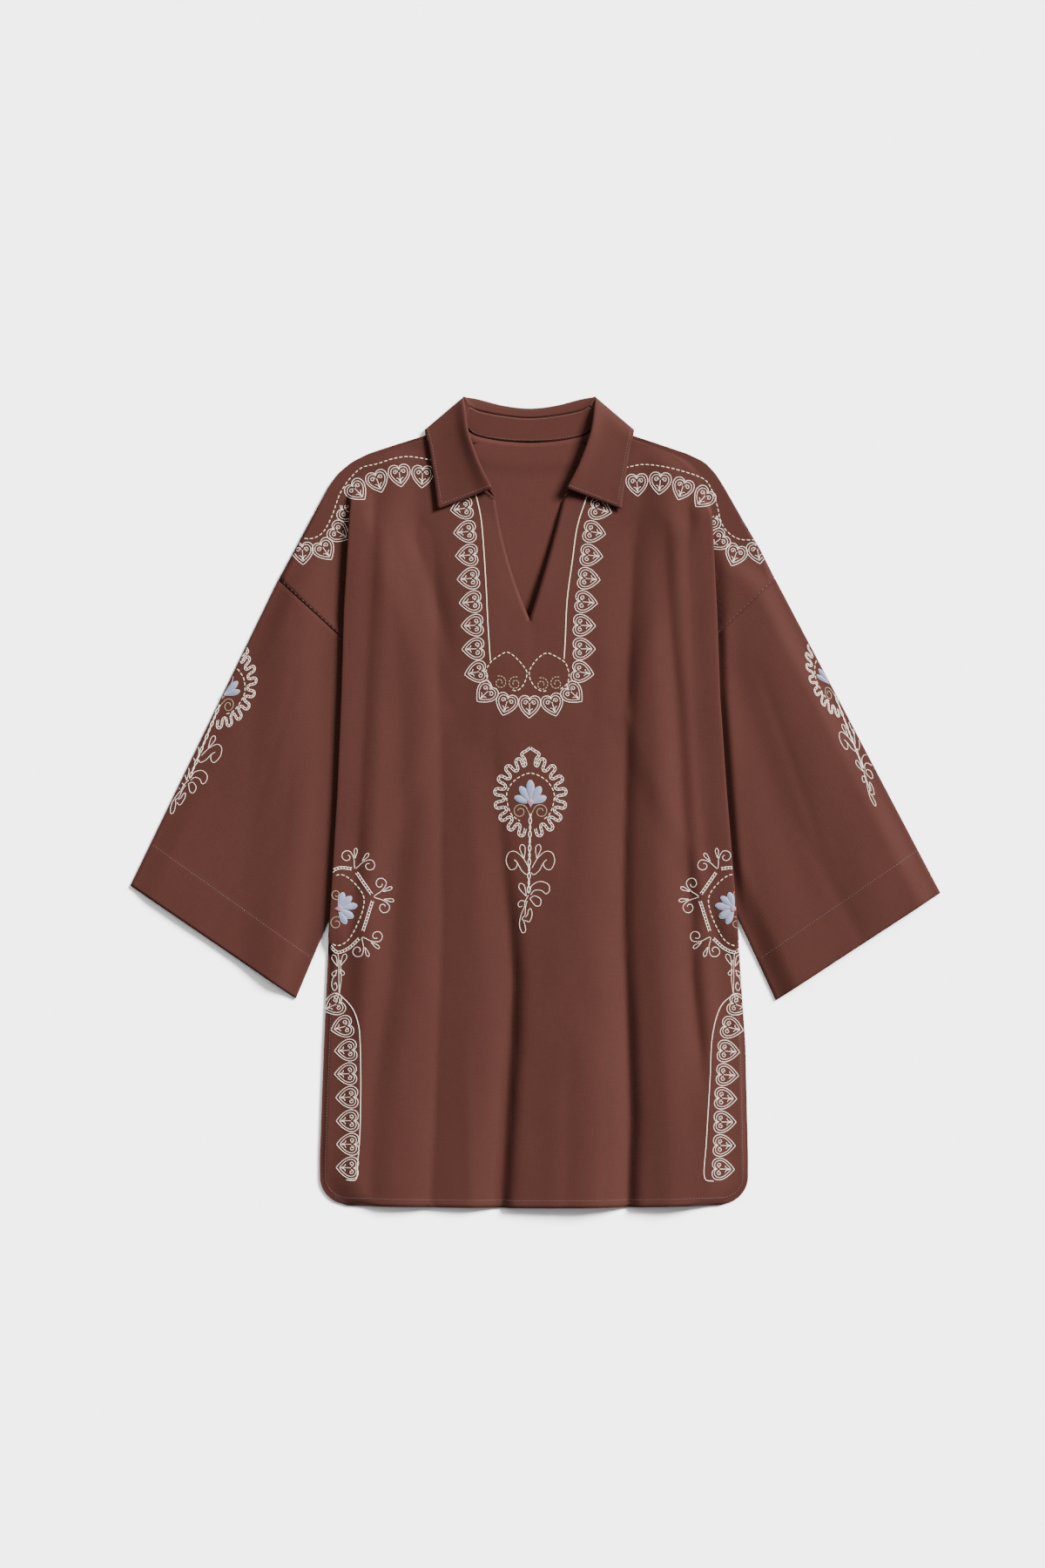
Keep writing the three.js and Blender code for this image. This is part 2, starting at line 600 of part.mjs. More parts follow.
// One ring round a sleeve: the upper layer from outer fold to inner, then the lower one back.
function sleeveRing(side, t) {
  const cut = SLEEVE[side.name];
  const corner = (a, b) => [lerp(a[0], b[0], t), lerp(a[1], b[1], t)];
  const outer = corner(cut.outerTop, cut.outerHem);
  const inner = corner(cut.innerTop, cut.innerHem);
  const ring = [];
  const gap = LAYER.sleeveUpper - LAYER.sleeveLower;
  const put = (w, layer) => {
    const half = lerp(outer[0], inner[0], w);
    const y = lerp(outer[1], inner[1], w);
    const floor = sleeveFloor(side, half, y);
    const z = floor + layer * (gap + (layer === 1 ? sleeveLoft(side, half, y, t, w) : 0));
    ring.push(new THREE.Vector3(side.sign * half, y, z));
  };
  const turn = SLEEVE_TURN;
  for (let i = 0; i < UPPER_POINTS; i += 1) put(lerp(turn, 1 - turn, i / (UPPER_POINTS - 1)), 1);
  for (let i = 1; i <= FOLD_POINTS; i += 1) {
    const angle = Math.PI * (i / (FOLD_POINTS + 1));
    put(1 - turn + turn * Math.sin(angle), 0.5 + 0.5 * Math.cos(angle));
  }
  for (let i = LOWER_POINTS - 1; i >= 0; i -= 1) put(lerp(turn, 1 - turn, i / (LOWER_POINTS - 1)), 0);
  for (let i = 1; i <= FOLD_POINTS; i += 1) {
    const angle = Math.PI * (i / (FOLD_POINTS + 1));
    put(turn - turn * Math.sin(angle), 0.5 - 0.5 * Math.cos(angle));
  }
  return ring;
}

function sleeve(side) {
  const rings = [];
  for (let i = 0; i < SLEEVE_RINGS; i += 1) {
    rings.push(sleeveRing(side, lerp(SEAM_GAP / SLEEVE_LENGTH, 1, i / (SLEEVE_RINGS - 1))));
  }
  return wall(rings, true);
}

// ---------------------------------------------------------------- collar
// One smooth line along the whole collar, end to end, through column `key` of its table.
function collarLine(key) {
  const half = COLLAR[key].map((point) => new THREE.Vector3(...point));
  const mirrored = half.slice(0, -1).map((p) => new THREE.Vector3(-p.x, p.y, p.z));
  const curve = new THREE.CatmullRomCurve3([...mirrored, ...half.slice().reverse()]);
  const count = (COLLAR_ROWS.length - 1) * 2 * COLLAR_STEPS;
  return Array.from({ length: count + 1 }, (_, i) => {
    const point = curve.getPoint(i / count);
    return point.setZ(Math.max(point.z, LAYER.back));
  });
}

function collarStand() {
  const neck = collarLine('neck');
  return wall(collarLine('join').map((from, i) => (
    STAND_SHARES.map((t) => new THREE.Vector3().lerpVectors(from, neck[i], t)))));
}

// A section of the fall: from its free edge over the roll to the seam.
function fallSection(free, roll, join) {
  const toFree = new THREE.Vector3().subVectors(free, roll);
  const toJoin = new THREE.Vector3().subVectors(join, roll);
  const out = (t) => {
    const point = roll.clone().addScaledVector(toFree, t);
    return point.setZ(lerp(free.z, roll.z, (1 - t) ** FALL_SAG));
  };
  const over = lerp(-1, 1, smooth(ROLL_OVER.from, ROLL_OVER.to, free.z));
  const rise = new THREE.Vector3(0, 0, ROLL_HALF * over);
  const level = (way) => way.clone().setZ(0).setLength(ROLL_ROUND);
  const before = roll.clone().add(level(toFree)).add(rise);
  const after = roll.clone().add(level(toJoin)).sub(rise);
  const end = roll.clone().addScaledVector(toJoin, FALL_END);
  return [...FALL_SHARES.map(out), before, roll, after, end];
}

function collarFall() {
  const free = collarLine('free');
  const roll = collarLine('roll');
  const join = collarLine('join');
  return wall(roll.map((tip, i) => fallSection(free[i], tip, join[i])));
}

// ---------------------------------------------------------------- the garment
const CLOTH_FINISH = { color: 0x6b3d34, roughness: 0.86, metalness: 0 };

function piece(name, geometry) {
  geometry.computeVertexNormals();
  const mesh = new THREE.Mesh(geometry, new THREE.MeshStandardMaterial(CLOTH_FINISH));
  mesh.name = name;
  return mesh;
}

const garment = new THREE.Group();
garment.add(piece('back', back()));
garment.add(piece('front', front()));
for (const side of SIDES) garment.add(piece(`sleeve_${side.name}`, sleeve(side)));
garment.add(piece('collar_stand', collarStand()));
garment.add(piece('collar_fall', collarFall()));

// The middle of the garment's box is set over the origin, with its underside at zero.
const box = new THREE.Box3().setFromObject(garment);
const centre = box.getCenter(new THREE.Vector3());
garment.position.set(-centre.x, -centre.y, -box.min.z);

export default garment;
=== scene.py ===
"""A long-sleeved kurti laid flat on its back: cloth, seams, embroidery and studio.

Sizes are in millimetres on the garment's own centre line, +X to the wearer's left and +Y towards
the collar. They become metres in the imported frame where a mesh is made.
"""

from __future__ import annotations

import copy
import logging
import math
from dataclasses import dataclass, field
from enum import Enum
from typing import Iterable, NamedTuple, Sequence

import bmesh
import bpy
import numpy as np
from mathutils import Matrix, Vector, noise

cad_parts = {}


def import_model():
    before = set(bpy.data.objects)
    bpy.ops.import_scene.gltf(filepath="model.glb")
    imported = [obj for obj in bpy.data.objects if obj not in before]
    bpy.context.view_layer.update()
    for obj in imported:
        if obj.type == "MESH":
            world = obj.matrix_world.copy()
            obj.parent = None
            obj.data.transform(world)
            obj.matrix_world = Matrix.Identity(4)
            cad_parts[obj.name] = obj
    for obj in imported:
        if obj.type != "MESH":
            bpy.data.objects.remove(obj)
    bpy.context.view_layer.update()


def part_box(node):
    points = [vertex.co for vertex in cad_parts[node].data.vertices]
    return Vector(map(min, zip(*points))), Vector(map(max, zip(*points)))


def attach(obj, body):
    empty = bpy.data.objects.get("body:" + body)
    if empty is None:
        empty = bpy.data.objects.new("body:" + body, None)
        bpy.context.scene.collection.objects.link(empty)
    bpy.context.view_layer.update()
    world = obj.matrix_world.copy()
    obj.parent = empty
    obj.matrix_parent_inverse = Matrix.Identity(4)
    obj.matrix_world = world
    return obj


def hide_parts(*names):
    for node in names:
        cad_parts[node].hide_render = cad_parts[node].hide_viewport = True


LOG = logging.getLogger("kurti")
MM = 0.001
BODY = "root"


# ---------------------------------------------------------------- shared sums
def lerp(a, b, t):
    """Returns the value a share t of the way from a to b."""
    return a + (b - a) * t


def smooth(start, stop, value):
    """Returns 0 before start, 1 after stop and a soft step between them."""
    t = np.clip((value - start) / (stop - start), 0.0, 1.0)
    return t * t * (3.0 - 2.0 * t)


def spline(points: Sequence[Sequence[float]], steps: int, closed: bool = False) -> np.ndarray:
    """Runs a smooth line through a few points.

    Args:
        points: the points to pass through, in two or three dimensions.
        steps: how many pieces each stretch between two points is cut into.
        closed: whether the line comes back to its first point.

    Returns:
        The points of the line, one row each.
    """
    knots = np.asarray(points, float)
    count = len(knots)
    if closed:
        padded = np.vstack([knots[-1], knots, knots[0], knots[1]])
        spans = count
    else:
        padded = np.vstack([2 * knots[0] - knots[1], knots, 2 * knots[-1] - knots[-2]])
        spans = count - 1
    t = np.arange(steps)[:, None] / steps
    line = []
    for i in range(spans):
        a, b, c, d = padded[i:i + 4]
        line.append(0.5 * (2 * b + (c - a) * t + (2 * a - 5 * b + 4 * c - d) * t ** 2
                           + (3 * b - a - 3 * c + d) * t ** 3))
    line.append(padded[spans + 1][None, :])
    return np.vstack(line)


def travelled(points: np.ndarray) -> np.ndarray:
    """Returns how far along a line each of its points lies."""
    steps = np.linalg.norm(np.diff(points, axis=0), axis=1)
    return np.concatenate([[0.0], np.cumsum(steps)])


def sampled(at, along: np.ndarray, table: np.ndarray) -> np.ndarray:
    """Returns the rows of a table at some distances along its line."""
    return np.stack([np.interp(at, along, column) for column in table.T], axis=-1)


def even(line: np.ndarray, step: float) -> np.ndarray:
    """Returns a line's points moved to lie about one step apart."""
    along = travelled(line[:, :2])
    count = max(2, int(round(along[-1] / step)) + 1)
    return sampled(np.linspace(0.0, along[-1], count), along, line)


# ---------------------------------------------------------------- the cut and how it lies
class Side(Enum):
    """The two sides of the garment, by the wearer, with the sign of X there."""

    RIGHT = -1
    LEFT = 1


class Width(NamedTuple):
    """Half widths at one height on the body."""

    y: float
    right: float
    left: float


class Fold(NamedTuple):
    """A trough or ridge down the front.

    It passes through (x, y, height) points. It is wide_low broad towards lower X and wide_high
    towards higher X. Crisp is 0 for a round fold and 1 for a pressed edge.
    """

    name: str
    wide_low: float
    wide_high: float
    crisp: float
    points: tuple[tuple[float, float, float], ...]


class SleeveFold(NamedTuple):
    """A fold of a sleeve's upper layer, by shares of its width and length."""

    name: str
    w0: float
    t0: float
    w1: float
    t1: float
    wide: float
    height: float


class CollarRow(NamedTuple):
    """One cross-section of the collar: where its four lines pass."""

    name: str
    free: tuple[float, float, float]
    roll: tuple[float, float, float]
    join: tuple[float, float, float]
    neck: tuple[float, float, float]


class SleeveCut(NamedTuple):
    """A sleeve's corners in plan, as half width and height."""

    outer_top: tuple[float, float]
    inner_top: tuple[float, float]
    outer_hem: tuple[float, float]
    inner_hem: tuple[float, float]


CLOTH = 0.7
HEM_Y = -441.0
HEM_RISE = 4.0
CORNER_RADIUS = 30.0
BACK_INSET = 8.0
UNDERARM_X, UNDERARM_Y = 112.0, 95.0
TUCK_END_Y = -137.0
TUCK_DEPTH_MIN = 6.0
SIDE_SEAM_TURN = 3.0
SEAM_GAP = 0.4
SEAM_LAP = 3.0
SEAM_LAYER = 0.02
SEAM_DIP = 0.8
BACK_TOP, BACK_NECK = 414.0, 330.0
SLIT_TOP_Y, SLIT_FOOT_Y, SLIT_TOP_X = 332.0, 200.5, 37.2
SLIT_BULGE = {Side.RIGHT: 5.0, Side.LEFT: 1.5}
SLIT_BESIDE = 13.0
NECK_CLEAR, NECK_MIDDLE_Y = 1.4, 408.0
TUCK_START = {Side.RIGHT: 320.0, Side.LEFT: 308.0}
HEM_SWEEP, BACK_HEM_IN = 230.0, 4.5
# The front falls to its edge over this width, low down and at the chest.
EDGE_FALL, EDGE_FALL_CHEST, CHEST_Y = 46.0, 80.0, (290.0, 350.0)
# Where the collar presses on the front, by half width and by height, and where folds end.
COLLAR_OUT, COLLAR_DOWN, FOLDS_END = (118.0, 165.0), (150.0, 322.0), (296.0, 330.0)
# Heights of the middle of each layer of cloth, from the surface up.
BACK_LAYER, ARM_LAYER, TUCK_LAYER, FRONT_LAYER = 0.6, 2.3, 5.9, 7.8
SLEEVE_LOWER, SLEEVE_UPPER = 2.3, 4.1
FRONT_REST, FRONT_LOFT, EDGE_LOFT, EDGE_TURN = 2.2, 8.4, 2.4, 1.1
SLIT_LIFT = {Side.RIGHT: -1.3, Side.LEFT: 1.6}
COLLAR_PRESS = 0.87
COLLAR_RAISE, COLLAR_CLEAR = 1.6, 1.35
SLEEVE_LOFT = 6.2
SLEEVE_CLIMB = {Side.RIGHT: (4.0, 50.0), Side.LEFT: (-1.0, 10.0)}
SLEEVE_SINK = {Side.RIGHT: 3.2, Side.LEFT: 0.0}
SINK_RUN = (56.0, 100.0)
ARM_ARCH_END = (246.0, 300.0)
RAMP_OUT = 26.0
SLEEVE_LENGTH = 370.0
ROLL_HALF, ROLL_ROUND, FALL_SAG = 1.4, 2.4, 2.2
BODY_HEM, SLEEVE_HEM = 8.0, 51.0

BODY_EDGE = (
    Width(425, 193.0, 196.0),
    Width(320, 195.7, 198.5),
    Width(211, 202.4, 204.0),
    Width(116, 205.2, 207.4),
    Width(11, 209.5, 214.7),
    Width(-137, 218.5, 227.0),
    Width(-264, 224.2, 235.6),
    Width(-385, 228.6, 238.5),
    Width(-446, 228.6, 238.5),
)
SHOULDER = (
    Width(417, 72.0, 72.0),
    Width(401.5, 111.0, 110.0),
    Width(391, 146.0, 142.5),
    Width(381, 176.0, 172.0),
    Width(372, 194.0, 191.0),
    Width(360, 208.0, 202.5),
    Width(346, 218.5, 211.5),
    Width(311, 237.5, 231.5),
    Width(275, 256.5, 252.5),
    Width(243, 274.0, 268.5),
)
SHOULDER_TIP_Y = 243.0
SLEEVES = {
    Side.RIGHT: SleeveCut((274, 243), (122, 104.1), (435, -90), (255, -213)),
    Side.LEFT: SleeveCut((268.5, 243), (122, 104.5), (448, -98), (269, -215)),
}
FRONT_FOLDS = (
    Fold("pleat", 20, 40, 0.8, (
        (-103, 344, 0), (-102, 250, -1.6), (-101, 170, -3.0), (-97, 60, -4.0), (-96, -130, -5.0),
        (-102, -312, -5.4), (-109, -450, -5.6),
    )),
    Fold("right_trough", 20, 17, 0.2, (
        (-152, 250, 0), (-140, 100, -1.8), (-139, -8, -2.8), (-147, -110, -3.4), (-151, -190, -3.4),
        (-170, -312, -3.2), (-174, -450, -3.0),
    )),
    Fold("right_side_ridge", 16, 20, 0.1, (
        (-186, 250, 0), (-180, 60, 1.6), (-178, -120, 2.2), (-186, -320, 0.6), (-190, -450, 0.4),
    )),
    Fold("collar_drag", 13, 12, 0.2, (
        (-125, 330, 0), (-117, 287, -2.8), (-100, 211, -3.4), (-83, 140, 0),
    )),
    Fold("centre_trough", 22, 9.0, 0.5, (
        (-44, 100, 0), (-38, 40, -1.2), (-28, -74, -3.8), (-21, -140, -6.6), (-17.5, -190, -8.2),
        (-20, -260, -9.6), (-26, -350, -10.2), (-32, -450, -10.2),
    )),
    Fold("centre_ridge", 52, 40, 0.0, (
        (48, 60, 0), (58, -60, 2.0), (62, -200, 3.8), (60, -450, 4.4),
    )),
    Fold("left_trough", 18, 9.0, 0.5, (
        (122, 350, 0), (114, 287, -2.4), (108, 150, -4.4), (102.5, -74, -6.4), (102.5, -140, -6.8),
        (107.5, -250, -8.8), (110, -340, -9.6), (107.5, -450, -9.8),
    )),
    Fold("left_ridge", 20, 22, 0.1, (
        (136, 330, 0), (134, 200, 2.2), (138, 60, 3.2), (140, -74, 3.6), (146, -217, 3.6),
        (156, -450, 3.0),
    )),
    Fold("left_side_trough", 14, 9, 0.4, (
        (148, 340, 0), (148, 287, -1.4), (152, 211, -2.6), (161, 110, -4.4), (169, -20, -4.0),
        (176, -110, -4.4), (177, -188, -4.8), (184, -255, -4.4), (194, -340, 0),
    )),
)
CREASES = (
    Fold("right_chest", 9, 14, 0.3, ((-150, 300, 0), (-146, 200, -0.8), (-140, 60, 0))),
    Fold("right_waist", 12, 12, 0.2, ((-62, 60, 0), (-58, -60, 0.8), (-52, -190, 0))),
    Fold("left_chest", 12, 9, 0.3, ((60, 240, 0), (66, 150, -0.7), (72, 10, 0))),
    Fold("left_waist", 10, 14, 0.2, ((46, 90, 0), (40, -40, -0.7), (38, -170, 0))),
    Fold("slit_foot", 6, 6, 0.3, ((3, 198, -0.6), (4, 160, -0.4), (5, 110, 0))),
    Fold("hem_right", 8, 8, 0.3, ((-70, -230, 0), (-66, -340, 0.7), (-64, -450, 0.9))),
    Fold("hem_middle", 10, 10, 0.3, ((46, -200, 0), (42, -330, -0.7), (40, -450, -0.9))),
    Fold("hem_left", 8, 10, 0.3, ((86, -190, 0), (84, -330, -0.6), (82, -450, -0.9))),
)
SLEEVE_FOLDS = (
    SleeveFold("long_trough", 0.42, 0.05, 0.62, 0.8, 0.09, -1.2),
    SleeveFold("inner_ridge", 0.62, 0.15, 0.84, 0.85, 0.09, 0.8),
    SleeveFold("outer_ridge", 0.2, 0.1, 0.32, 0.95, 0.13, 1.2),
    SleeveFold("fine_crease", 0.32, 0.2, 0.45, 0.7, 0.03, -0.5),
    SleeveFold("hem_crease", 0.5, 0.6, 0.46, 1.1, 0.04, -0.6),
)
COLLAR = (
    CollarRow("front_end", (100.5, 320, 7.6), (40.4, 342.5, 11), (44, 343, 8.4), (36.5, 332.5, 5.6)),
    CollarRow("front", (104, 349, 7.6), (54, 369.5, 12.5), (58.5, 366.5, 9), (53, 348, 6.0)),
    CollarRow("side_front", (109.5, 385, 7.2), (66, 403, 13), (71.5, 402, 9), (71.5, 384, 6.2)),
    CollarRow("side", (112.6, 398, 6.8), (70.5, 430, 10.5), (72, 421, 8.0), (74, 404, 6.2)),
    CollarRow("wrap", (113.8, 407, 3.6), (72, 442, 5.6), (66, 431.5, 6.8), (70.5, 414, 4.6)),
    CollarRow("wrap_under", (108, 405, 0.6), (68, 442, 3.4), (62, 431, 6.2), (66.5, 408, 3.0)),
    CollarRow("side_back", (92, 397, 0.6), (56, 440, 2.6), (54, 427.5, 5.2), (58, 401, 2.3)),
    CollarRow("back", (52, 385.5, 0.6), (28, 433, 2.4), (28, 422.5, 4.8), (32, 395.6, 2.2)),
    CollarRow("centre_back", (0, 381, 0.6), (0, 430, 2.4), (0, 420, 4.6), (0, 394, 2.2)),
)


@dataclass(frozen=True)
class Place:
    """Where the garment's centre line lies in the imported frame, in millimetres."""

    x: float
    y: float

    @classmethod
    def from_frame(cls) -> Place:
        """Reads the place off the back panel, whose edge and hem are named sizes."""
        low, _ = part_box("back")
        widest = SHOULDER[-1].right - SEAM_GAP
        back_hem = HEM_Y + BACK_HEM_IN
        return cls(low.x / MM + widest, low.y / MM - back_hem)

    def metres(self, points: np.ndarray) -> np.ndarray:
        """Returns garment points, in millimetres, as points of the frame, in metres."""
        return (np.asarray(points, float) + (self.x, self.y, 0.0)) * MM


class Draft:
    """The garment's outlines in plan, and the height of the middle of each layer of cloth."""

    @staticmethod
    def across(table: Sequence[Width], side: Side, y):
        """Returns the half width that a table gives at a height."""
        rows = sorted(table)
        widths = [row.left if side is Side.LEFT else row.right for row in rows]
        return np.interp(y, [row.y for row in rows], widths)

    def body_edge(self, side: Side, y):
        """Returns the front's half width, with the rounded corner at its foot."""
        low = np.clip((HEM_Y + HEM_RISE + CORNER_RADIUS - y) / CORNER_RADIUS, 0.0, 1.0)
        return self.across(BODY_EDGE, side, y) - CORNER_RADIUS * (1 - np.sqrt(1 - low * low))

    def shoulder(self, side: Side, y):
        """Returns the half width at the shoulder line and round to the armhole seam."""
        return self.across(SHOULDER, side, y)

    def armhole(self, side: Side, y):
        """Returns the half width of the armhole seam."""
        tip = self.shoulder(side, SHOULDER_TIP_Y)
        return lerp(UNDERARM_X, tip, (y - UNDERARM_Y) / (SHOULDER_TIP_Y - UNDERARM_Y))

    def under_sleeve(self, side: Side, half, y):
        """Returns the height of a sleeve's lower layer, which climbs on to the back."""
        edge = self.body_edge(side, y)
        climb = 1 - smooth(edge - BACK_INSET + 3, edge + RAMP_OUT, half)
        return lerp(BACK_LAYER, SLEEVE_LOWER, climb)

    def beside_body(self, side: Side, half, y):
        """Returns how far the sleeve's upper layer arches up beside the body."""
        beyond = half - self.body_edge(side, y)
        sink = SLEEVE_SINK[side] * smooth(*SINK_RUN, beyond)
        return SLEEVE_LOFT * smooth(*SLEEVE_CLIMB[side], beyond) - sink

    @staticmethod
    def between_folds(share):
        """Returns how much of the arch is left, by the share of the way between the two folds."""
        return smooth(0, 0.14, share) * (1 - smooth(0.86, 1, share))

    @staticmethod
    def seam_share(side: Side, half, y):
        """Returns how far a place is along the armhole seam, as a share from the outer fold."""
        cut = SLEEVES[side]
        (x0, y0), (x1, y1) = cut.outer_top, cut.inner_top
        return ((x0 - half) * (x0 - x1) + (y0 - y) * (y0 - y1)) / ((x0 - x1) ** 2 + (y0 - y1) ** 2)

    @staticmethod
    def tuck_start(side: Side) -> float:
        """Returns the height at which the side begins to tuck under."""
        return TUCK_START[side]

    def tuck_inner(self, side: Side, y):
        """Returns the half width of the tuck's innermost line."""
        start = self.tuck_start(side)
        high = lerp(UNDERARM_X, self.body_edge(side, start) - TUCK_DEPTH_MIN,
                    np.clip((y - UNDERARM_Y) / (start - UNDERARM_Y), 0.0, 1.0))
        low = lerp(self.body_edge(side, TUCK_END_Y) - TUCK_DEPTH_MIN, UNDERARM_X,
                   np.clip((y - TUCK_END_Y) / (UNDERARM_Y - TUCK_END_Y), 0.0, 1.0))
        return np.where(np.asarray(y) >= UNDERARM_Y, high, low)

    @staticmethod
    def slit(side: Side, y):
        """Returns the half width of the neck slit."""
        share = np.clip((y - SLIT_FOOT_Y) / (SLIT_TOP_Y - SLIT_FOOT_Y), 0.0, 1.0)
        return lerp(0.0, SLIT_TOP_X, share) + SLIT_BULGE[side] * 4 * share * (1 - share)

    @staticmethod
    def back_height(x, y):
        """Returns the height of the back panel, which is lifted over the fall beneath it."""
        edge = 381 + 25 * (x / 112) ** 2
        return BACK_LAYER + COLLAR_RAISE * smooth(edge - 26, edge - 9, y)

    @staticmethod
    def fold_height(folds: Iterable[Fold], x, y):
        """Returns the summed height of a table of folds."""
        total = 0.0
        for fold in folds:
            xs, ys, heights = zip(*reversed(fold.points))
            off = x - np.interp(y, ys, xs)
            share = np.abs(off) / np.where(off > 0, fold.wide_high, fold.wide_low)
            shape = (1 - fold.crisp) * np.exp(-(share ** 2)) + fold.crisp * np.exp(-1.5 * share)
            tall = np.interp(y, ys, heights, right=0.0)
            total = total + tall * shape
        return total

    def front_height(self, side: Side, half, y):
        """Returns the height of the middle of the front's top layer."""
        x = side.value * half
        shoulder = self.shoulder(side, np.maximum(y, SHOULDER_TIP_Y))
        edge = np.minimum(self.body_edge(side, y), shoulder)
        rest = FRONT_REST + COLLAR_CLEAR * (self.back_height(x, y) - BACK_LAYER)
        fall = lerp(EDGE_FALL, EDGE_FALL_CHEST, smooth(*CHEST_Y, y))
        near_edge = smooth(edge - fall, edge - 4, half)
        collar_in = 1 - smooth(*COLLAR_OUT, half)
        under_collar = smooth(*COLLAR_DOWN, y) * collar_in
        loft = FRONT_LOFT * (1 - near_edge) * (1 - COLLAR_PRESS * under_collar)
        below_collar = 1 - smooth(*FOLDS_END, y) * collar_in
        folds = self.fold_height(FRONT_FOLDS, x, y) * (1 - 0.6 * near_edge) * below_collar
        ends = smooth(-428, -372, y) - smooth(300, 345, y)
        bulge = EDGE_LOFT * smooth(edge - 30, edge - 6, half) * ends
        beside_slit = (np.exp(-((half - self.slit(side, y)) / SLIT_BESIDE) ** 2)
                       * smooth(200, 240, y) * (1 - smooth(308, 330, y)))
        arch = np.maximum(0.0, loft + folds)
        start = self.tuck_start(side)
        inner = self.tuck_inner(side, y)
        fade = smooth(TUCK_END_Y - 40, TUCK_END_Y + 4, y) * (1 - smooth(start + 4, start + 44, y))
        lift = (FRONT_LAYER - FRONT_REST) * smooth(inner - 34, inner - 4, half) * fade
        fine = self.fold_height(CREASES, x, y) * (1 - 0.7 * near_edge) * below_collar
        lie = 1.1 * waver(x, y, 70.0) + 0.4 * waver(x + 31, y, 24.0)
        settled = rest + np.maximum(lift, arch) + 0.35 * np.minimum(lift, arch) + bulge
        uneven = (fine + lie) * (1 - 0.8 * under_collar)
        return settled + uneven + self.hem_step(y) + SLIT_LIFT[side] * beside_slit

    @staticmethod
    def hem_step(y):
        """Returns the extra height of the turned hem at the foot of the front."""
        return 0.4 * smooth(HEM_Y + BODY_HEM + 2.2, HEM_Y + BODY_HEM, y)


def waver(x, y, size: float):
    """Returns a soft uneven height, about -0.5 to 0.5, whose swells are about one size across."""
    def one(px: float, py: float) -> float:
        return noise.noise(Vector((px / size, py / (2.6 * size), size)))

    return np.vectorize(one, otypes=[float])(x, y)


# ---------------------------------------------------------------- finishes
class NodeSheet:
    """Lays out the nodes of a material or group with short calls."""

    def __init__(self, tree: bpy.types.NodeTree) -> None:
        """Keeps the tree that nodes are added to."""
        self.tree = tree

    def add(self, kind: str, **settings) -> bpy.types.Node:
        """Returns a new node of a kind with its settings made."""
        node = self.tree.nodes.new(kind)
        for name, value in settings.items():
            setattr(node, name, value)
        return node

    def link(self, source: bpy.types.NodeSocket, target: bpy.types.NodeSocket) -> None:
        """Joins an output to an input."""
        self.tree.links.new(source, target)

    def math(self, operation: str, *values) -> bpy.types.NodeSocket:
        """Returns the output of a Math node fed with sockets or numbers."""
        node = self.add("ShaderNodeMath", operation=operation)
        for socket, value in zip(node.inputs, values):
            if isinstance(value, bpy.types.NodeSocket):
                self.link(value, socket)
            else:
                socket.default_value = value
        return node.outputs[0]

    def mix(self, share, first, second) -> bpy.types.NodeSocket:
        """Returns the output of a colour Mix node."""
        node = self.add("ShaderNodeMix", data_type="RGBA")
        sockets = (node.inputs[0], node.inputs[6], node.inputs[7])
        for socket, value in zip(sockets, (share, first, second)):
            if isinstance(value, bpy.types.NodeSocket):
                self.link(value, socket)
            else:
                socket.default_value = value
        return node.outputs[2]


def new_material(name: str) -> tuple[bpy.types.Material, NodeSheet, bpy.types.Node]:
    """Returns a new material, a NodeSheet on it and its shader."""
    material = bpy.data.materials.new(name)
    material.use_nodes = True
    return material, NodeSheet(material.node_tree), material.node_tree.nodes["Principled BSDF"]


def new_group(name: str, inputs: Sequence[tuple[str, str, float]],
              outputs: Sequence[tuple[str, str]]):
    """Starts a shader node group.

    Args:
        name: the group's name.
        inputs: socket name, socket type and default of each input.
        outputs: socket name and socket type of each output.

    Returns:
        The group's tree, a NodeSheet on it, its input node and its output node.
    """
    tree = bpy.data.node_groups.new(name, "ShaderNodeTree")
    for label, kind, default in inputs:
        socket = tree.interface.new_socket(label, in_out="INPUT", socket_type=kind)
        if kind == "NodeSocketFloat":
            socket.default_value = default
    for label, kind in outputs:
        tree.interface.new_socket(label, in_out="OUTPUT", socket_type=kind)
    sheet = NodeSheet(tree)
    return tree, sheet, sheet.add("NodeGroupInput"), sheet.add("NodeGroupOutput")


